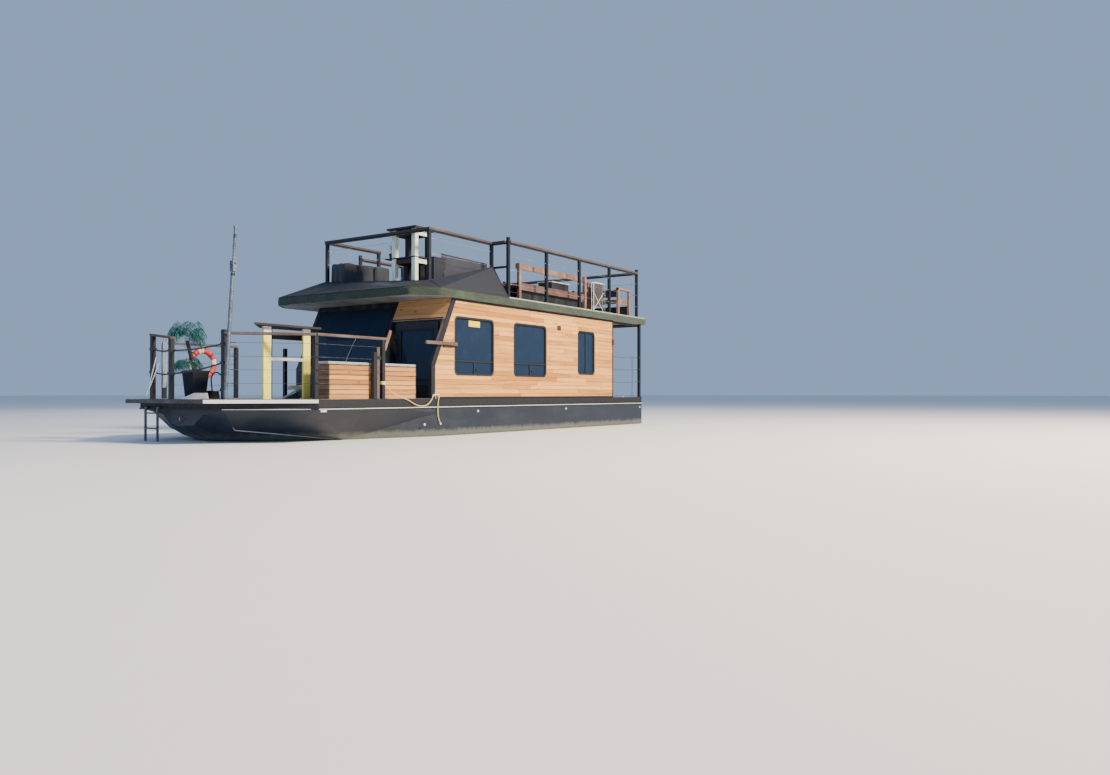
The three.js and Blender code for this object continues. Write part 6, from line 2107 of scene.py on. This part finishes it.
@dataclass
class Foredeck:
    """Bow rails and ropes, the mast, the yellow bar, seat boxes, palm, lifebuoy and small gear."""

    cable_levels: tuple[float, ...] = (0.90, 1.10, 1.30, 1.50)
    cable_radius: float = 0.003
    bow_post: Pair = (11.083, 1.085)
    shoulder_post: Pair = (10.125, 1.95)
    shoulder_lug: Pair = (10.125, 1.993)
    gate_post: Pair = (8.78, 2.01)
    starboard_y: float = -2.01
    bow_x: float = 11.31
    half: float = POST / 2

    def build(self) -> None:
        """Makes everything on the foredeck."""
        self.port_rail()
        self.starboard_rail()
        self.bow_ropes()
        self.mast()
        self.bar()
        SeatBox("fore", 9.014, 9.858).build()
        self.fixed_end()
        SeatBox("aft", 7.92, 8.736).build()
        Palm().build()
        Lifebuoy().build()
        self.gear()

    @staticmethod
    def fixed_end() -> None:
        """Makes the fore seat's fixed aft end, clear of the gate post: boards under a fixed board."""
        rng = random.Random(91)
        shell = Shape()
        step = (1.196 - DECK_Z) / 7
        for i in range(7):
            shell.tone = rng.random()
            shell.box((8.928, 1.60, DECK_Z + 0.002 + i * step), (9.009, 1.95, DECK_Z + (i + 1) * step - 0.004))
        shell.mark = 1
        shell.box((8.922, 1.592, 1.198), (9.003, 1.946, 1.244))
        shell.piece("seat_fixed_end", SEAT_PINE, LID, slot="planks", bevel=0.003)

    def posts(self, places: Sequence[Point], side: float) -> Shape:
        """Makes the shape of posts on foot plates, each by its place and top, with the plate's spare width."""
        shape = Shape()
        for x, y, top in places:
            shape.post(x, y, self.half, DECK_Z, top)
            shape.box((x - self.half - 0.02, y - self.half - side, DECK_Z),
                      (x + self.half + 0.02, y + self.half + side, DECK_Z + 0.007))
        return shape

    def port_rail(self) -> None:
        """Makes black posts, a wood top rail in two runs with an end bracket, and four cables."""
        places = [(*self.bow_post, 1.69), (*self.shoulder_post, 1.617), (*self.gate_post, 1.617), (8.97, 2.01, 1.42)]
        posts = self.posts(places, 0.004)
        for z in self.cable_levels:
            posts.box((10.084, 1.972, z - 0.007), (10.140, 1.999, z + 0.007))
        posts.piece("fore_posts_port", BLACK, slot="grey_wood", bevel=0.005, stands_for="fore_rail_port")
        rng = random.Random(3)
        rail = Shape()
        for a, b in (((*self.bow_post, 1.64), (10.115, 1.962, 1.64)), ((10.125, 1.962, 1.642), (8.70, 2.01, 1.642))):
            rail.tone = rng.random()
            rail.beam(a, b, 0.084, 0.042)
        rail.piece("fore_rail_top_port", RAIL_WOOD, slot="grey_wood", bevel=0.006)
        bracket = Shape().beam((8.735, 2.010, 1.46), (8.595, 2.010, 1.79), 0.058, 0.020, up=(0, 1, 0))
        bracket.mark = 1
        bracket.box((8.85, 1.998, DECK_Z), (8.912, 2.022, 1.50))
        bracket.mark = 2
        bracket.box((8.807, 1.995, 1.30), (8.943, 2.025, 1.36))
        bracket.piece("rail_end_bracket", UPRIGHT_WOOD, RAIL_WOOD, BLACK, slot="grey_wood", bevel=0.004)
        cables = Cables(self.cable_radius)
        for z in self.cable_levels:
            for (ax, ay), (bx, by) in ((self.bow_post, self.shoulder_post), (self.shoulder_lug, self.gate_post)):
                way = Vector((bx - ax, by - ay, 0)).normalized() * (self.half + 0.002)
                cables.run((ax + way.x, ay + way.y, z), (bx - way.x, by - way.y, z))
        cables.pieces("fore_{}_port", DARK_STEEL, DARK_STEEL)

    def starboard_rail(self) -> None:
        """Makes posts, wood rail and cables along the starboard side."""
        y = self.starboard_y
        posts = self.posts([(7.46, y, 1.655), (8.61, y, 1.617), (10.08, y, 1.617)], 0.0)
        posts.piece("fore_posts_starboard", BLACK, slot="grey_wood", bevel=0.005, stands_for="fore_rail_starboard")
        rail = Shape()
        for x0, x1, tone in ((8.585, 9.34, 0.2), (9.344, 10.11, 0.7)):
            rail.tone = tone
            rail.box((x0, -2.035, 1.619), (x1, -1.985, 1.660))
        rail.piece("fore_rail_top_starboard", RAIL_WOOD, slot="grey_wood", bevel=0.006)
        cables = Cables(self.cable_radius)
        for z in self.cable_levels:
            cables.run((10.08 - self.half, y, z), (8.61 + self.half, y, z))
        cables.pieces("fore_{}_starboard", DARK_STEEL, DARK_STEEL)

    def bow_ropes(self) -> None:
        """Makes the two bow posts and two black ropes that sag from post to post, tied with turns."""
        x, half = self.bow_x, self.half - 0.0005
        posts = Shape().post(x, 0.13, half, DECK_Z, 1.575).post(x, -0.35, half, DECK_Z, 1.635)
        posts.mark = 1
        posts.beam((x, -0.385, 1.653), (x, 0.165, 1.588), 0.08, 0.036)
        posts.piece("bow_posts", BLACK, RAIL_WOOD_CROSS, slot="black_metal", bevel=0.005, stands_for="bow_rope_rail")
        ropes = Shape()
        for port, middle, end in ((1.48, 1.40, 1.43), (1.20, 1.05, 1.08)):
            ropes.rope(sagging((11.093, 1.046, port), (x, 0.165, middle), 0.025, 60), 0.014, 0.085)
            ropes.rope(sagging((x, 0.095, middle), (x, -0.315, end), 0.020, 30), 0.014, 0.085)
            for post_x, post_y, level in ((x, 0.13, middle), (x, -0.35, end), (*self.bow_post, port)):
                for turn in (-0.012, 0.012):
                    ropes.tube(square_turn(post_x, post_y, level + turn, half + 0.009), 0.010, 8, loop=True)
        ropes.piece("bow_ropes", BLACK_ROPE, slot="black_metal", sharp=60)

    @staticmethod
    def mast() -> None:
        """Makes the mast's fittings: foot bolts, collars and the hinge's nuts, and the folding top's rings and pins."""
        repaint("mast_lower mast_upper", MAST_ZINC)
        lower = Shape()
        foot, head = Vector((11.123, 1.167, 0.671)), Vector((11.063, 1.258, 2.52))
        along = (head - foot).normalized()
        for x in (-0.030, 0.030):
            for y in (-0.030, 0.030):
                lower.lathe([(0.0065, 0.0), (0.0065, 0.005), (0.004, 0.006), (0.004, 0.011)],
                            (foot.x + x, foot.y + y, 0.670), sides=6)
        for t in (0.975, 0.985):
            lower.lathe([(0.031, 0.0), (0.031, 0.014)], foot.lerp(head, t), along, 18)
        lower.lathe([(0.034, 0.0), (0.029, 0.024), (0.0, 0.025)], foot + along * 0.004, along, 18)
        for y, way in ((1.304, 1), (1.220, -1)):
            lower.lathe([(0.014, 0.0), (0.014, 0.008), (0.008, 0.010), (0.008, 0.020)], (11.060, y, 2.650),
                        (0, way, 0), 6)
        lower.piece("mast_fittings", DARK_STEEL, slot="galvanised", sharp=40)
        low, high = Vector((11.0578, 1.2654, 2.72)), Vector((11.043, 1.289, 3.20))
        upper = Shape()
        for radius, height, t, mark in ((0.023, 0.05, 0.30, 0), (0.022, 0.03, 0.88, 0), (0.0215, 0.06, 0.62, 1)):
            upper.mark = mark
            upper.lathe([(radius, 0.0), (radius, height)], low.lerp(high, t), (high - low).normalized(), 18)
        upper.mark = 0
        for t in (0.955, 0.985):
            reach = Vector((0.030, 0, 0.002))
            upper.tube([low.lerp(high, t) + reach, low.lerp(high, t) - reach], 0.006, 8)
        upper.piece("mast_top_fittings", MAST_ZINC, DARK_STEEL, body="mast_top", slot="galvanised", sharp=40)

    @staticmethod
    def bar() -> None:
        """Makes yellow planks with white caps, dark posts behind, cross bars, and a dark skewed top of four boards; the
        dark beams behind the planks and a thin dark strip on each plank's aft face are painted shade.
        """
        half, back, cap_z, top_z = 0.0695, 0.285, 1.655, 1.764
        planks = (10.53, 9.78)
        posts, dark, caps = Shape(), Shape(), Shape()
        # The beam between the back posts is dark as painted shade.
        dark.box((planks[1] - back + 0.046, 0.99, 1.601), (planks[0] - back - 0.046, 1.03, 1.698))
        for x in planks:
            posts.box((x - half, 1.3205, DECK_Z), (x + half, 1.3595, cap_z))
            dark.box((x - back - 0.045, 0.965, DECK_Z), (x - back + 0.045, 1.055, top_z))
            dark.beam((x - back, 1.01, 1.65), (x - 0.025, 1.325, 1.65), 0.04, 0.098)
            # A thin dark strip on each plank's aft face: painted shade.
            dark.box((x - half - 0.0025, 1.322, DECK_Z), (x - half - 0.0002, 1.358, cap_z))
            caps.box((x - half - 0.001, 1.3195, cap_z + 0.002), (x + half + 0.001, 1.3605, top_z))
        caps.box((planks[1] + half, 1.3205, 1.2505), (planks[0] - half, 1.3595, 1.2965))
        posts.piece("bow_bar_posts", YELLOW, slot="yellow_paint", bevel=0.004, stands_for="bow_bar_frame")
        dark.piece("bow_bar_back_posts_and_shade", DARK_WOOD, slot="grey_wood", bevel=0.0008)
        caps.piece("bow_bar_caps", WHITE, slot="yellow_paint", bevel=0.004)
        top = Shape()
        rng = random.Random(12)
        for i in range(4):
            top.tone = rng.random()
            a, b = i / 4 + 0.002, (i + 1) / 4 - 0.002
            corners = ((9.30, 0.267, a), (10.33, 0.509, a), (10.33, 0.509, b), (9.30, 0.267, b))
            top.prism([(x + skew * share, 0.91 + 0.54 * share) for x, skew, share in corners], Axis.Z, 1.7655, 1.7995)
        top.piece("bow_bar_boards", DARK_WOOD, slot="black_metal", bevel=0.004, stands_for="bow_bar_top")

    @staticmethod
    def gear() -> None:
        """Makes small things: the pale cloth and straps at the bow, the wedge, a hose coil and leaning boards."""
        rows = []
        for t in (i / 12 for i in range(13)):
            wide = 0.055 - 0.030 * max(0.0, t - 0.55)
            rows.append([(11.262 + 0.006 * math.sin(5 * t + k), -0.108 - 0.03 * t * t + wide * (k / 6 - 0.5) * 2,
                          1.60 - 0.76 * t) for k in range(7)])
        strips = Shape().sheet(rows).piece("bow_cloth", PALE_CLOTH, slot="pale_cover", sharp=60)
        thicken(strips, "cloth", CLOTH_THICKNESS)
        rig.sheet(strips, flat=(0.11, 0.76), held="draped", rests_on=("bow_rope_rail",))
        straps = Shape().beam((11.353, -0.116, 1.213), (11.353, -0.458, 0.712), 0.022, 0.003, up=(1, 0, 0))
        straps.beam((11.353, -0.20, 1.30), (11.353, -0.365, 0.90), 0.022, 0.003, up=(1, 0, 0))
        straps.piece("bow_straps", PALE_EDGE, slot="pale_cover", bevel=0.0008)
        outline = [(10.76, DECK_Z + 0.005), (11.02, DECK_Z + 0.005), (10.78, DECK_Z + 0.10)]
        wedge = Shape().prism(outline, Axis.Y, -0.10, 0.26)
        wedge.piece("pale_wedge", PALE_CLOTH, slot="pale_cover", bevel=0.006)
        hose = Shape()
        for turn in range(5):
            wide, level = 0.10 - 0.004 * turn, DECK_Z + 0.018 + 0.026 * turn
            hose.tube([(10.36 + wide * math.cos(a), -0.22 + wide * math.sin(a), level + 0.004 * math.sin(3 * a))
                       for a in circle(32)], 0.013, 8, loop=True)
        loop = [(10.27, -0.16, 0.79), (10.25, -0.10, 0.93), (10.31, -0.08, 1.05), (10.40, -0.09, 1.09),
                (10.45, -0.12, 1.02), (10.44, -0.13, 0.86), (10.41, -0.14, 0.70)]
        hose.tube(MooringRope.smooth(loop), 0.011, 8)
        hose.piece("hose_coil", RUBBER, slot="dark_plastic", sharp=60)
        boards = Shape().beam((9.97, 1.03, DECK_Z + 0.015), (9.62, 1.03, 0.85), 0.05, 0.020, up=(0.3, 0, 1))
        boards.beam((9.97, 1.13, 0.845), (9.62, 1.13, 0.845), 0.02, 0.07)
        boards.mark = 1
        boards.prism([(9.62, DECK_Z + 0.004), (9.93, DECK_Z + 0.004), (9.62, 0.80)], Axis.Y, 0.985, 1.0)
        boards.piece("leaning_boards", PALE_PLASTIC, GREY_METAL, slot="dark_plastic", bevel=0.003)


@dataclass
class AftDeck:
    """Roof posts with their side ropes, the ladder to the roof, the swim platform and the outdrive."""

    rope_levels: tuple[float, ...] = (1.05, 1.35, 1.65)
    post_x: float = -0.16

    def build(self) -> None:
        """Makes everything behind the cabin."""
        repaint("roof_ladder", RAIL_WOOD)
        repaint("swim_platform", GREY_METAL)
        repaint("drive_housing drive_leg", BLACK)
        repaint("propeller", BRONZE)
        x, half = self.post_x, POST / 2
        posts, ropes = Shape(), Shape()
        for y in (2.0, -2.0):
            posts.post(x, y, half, DECK_Z, SOFFIT_Z)
            posts.box((x - half, y - half - 0.012, DECK_Z), (x + 0.06, y + half + 0.012, DECK_Z + 0.007))
            for z in self.rope_levels:
                ropes.rope(sagging((x + 0.03, y, z), (1.195, y, z - 0.02), 0.02, 50), 0.008, 0.05)
                for turn in (-0.008, 0.008):
                    ropes.tube(square_turn(x, y, z + turn, half + 0.006, 0.015), 0.007, 8, loop=True)
        posts.piece("aft_posts", BLACK, slot="black_metal", bevel=0.005, stands_for="aft_post_port aft_post_starboard")
        ropes.piece("aft_side_ropes", BLACK_ROPE, slot="black_metal", sharp=60)
        rod = Shape().tube([(-0.17, 1.80, DECK_Z), (-0.17, 1.80, 1.70)], 0.008, 8)
        rod.piece("stern_rod", ZINC, slot="galvanised", sharp=60)
        self.boards()
        self.drive()

    @staticmethod
    def boards() -> None:
        """Makes the rubber strips on the ladder's rungs and the planks of the swim platform."""
        treads = Shape()
        for step in range(9):
            z = DECK_Z + 0.19 + step * 0.25
            x = 0.983 - (0.983 - 0.230) * ((z - 0.60) / 2.4)
            treads.box((x - 0.022, -1.62, z + 0.018), (x + 0.022, -1.16, z + 0.023))
        treads.piece("roof_ladder_treads", RUBBER, slot="grey_wood", bevel=0.002)
        rng = random.Random(18)
        planks = Shape()
        for i in range(5):
            planks.tone = rng.random()
            x = -0.794 + i * 0.118
            planks.box((x, -1.39, 0.230), (x + 0.110, 1.39, 0.236))
        planks.piece("platform_planks", RAIL_WOOD_CROSS, slot="deck_paint", bevel=0.002)

    @staticmethod
    def drive() -> None:
        """Makes the bolts on the outdrive and the nut on the propeller."""
        bolts = Shape()
        for y in (-0.15, 0.15):
            for z in (-0.17, 0.0, 0.08):
                bolts.lathe([(0.011, 0.0), (0.011, 0.007), (0.0, 0.009)], (-0.261, y, z), (-1, 0, 0), 6)
        bolts.piece("drive_bolts", STAINLESS, slot="galvanised")
        nut = Shape().lathe([(0.016, 0.0), (0.016, 0.014), (0.006, 0.020), (0.0, 0.022)], (-0.720, 0, -0.52),
                            (-1, 0, 0), 6)
        nut.piece("propeller_nut", STAINLESS, body="prop", slot="bronze")


def main() -> None:
    """Builds the camera and cords, then the boat from the hull up, and writes its size."""
    logging.basicConfig(level=logging.INFO)
    Studio().build()
    MooringRope().build()
    for part in (HullAndDeck(), Cabin(), Roof(), FlyDeck(), Foredeck(), AftDeck()):
        part.build()
        log.info("built %s", type(part).__name__)
    new_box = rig.bounds()
    with open("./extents.json", "w", encoding="utf-8") as out:
        json.dump({"cad": [list(v) for v in CAD_BOX], "now": [list(v) for v in new_box]}, out)


if __name__ == "__main__":
    main()
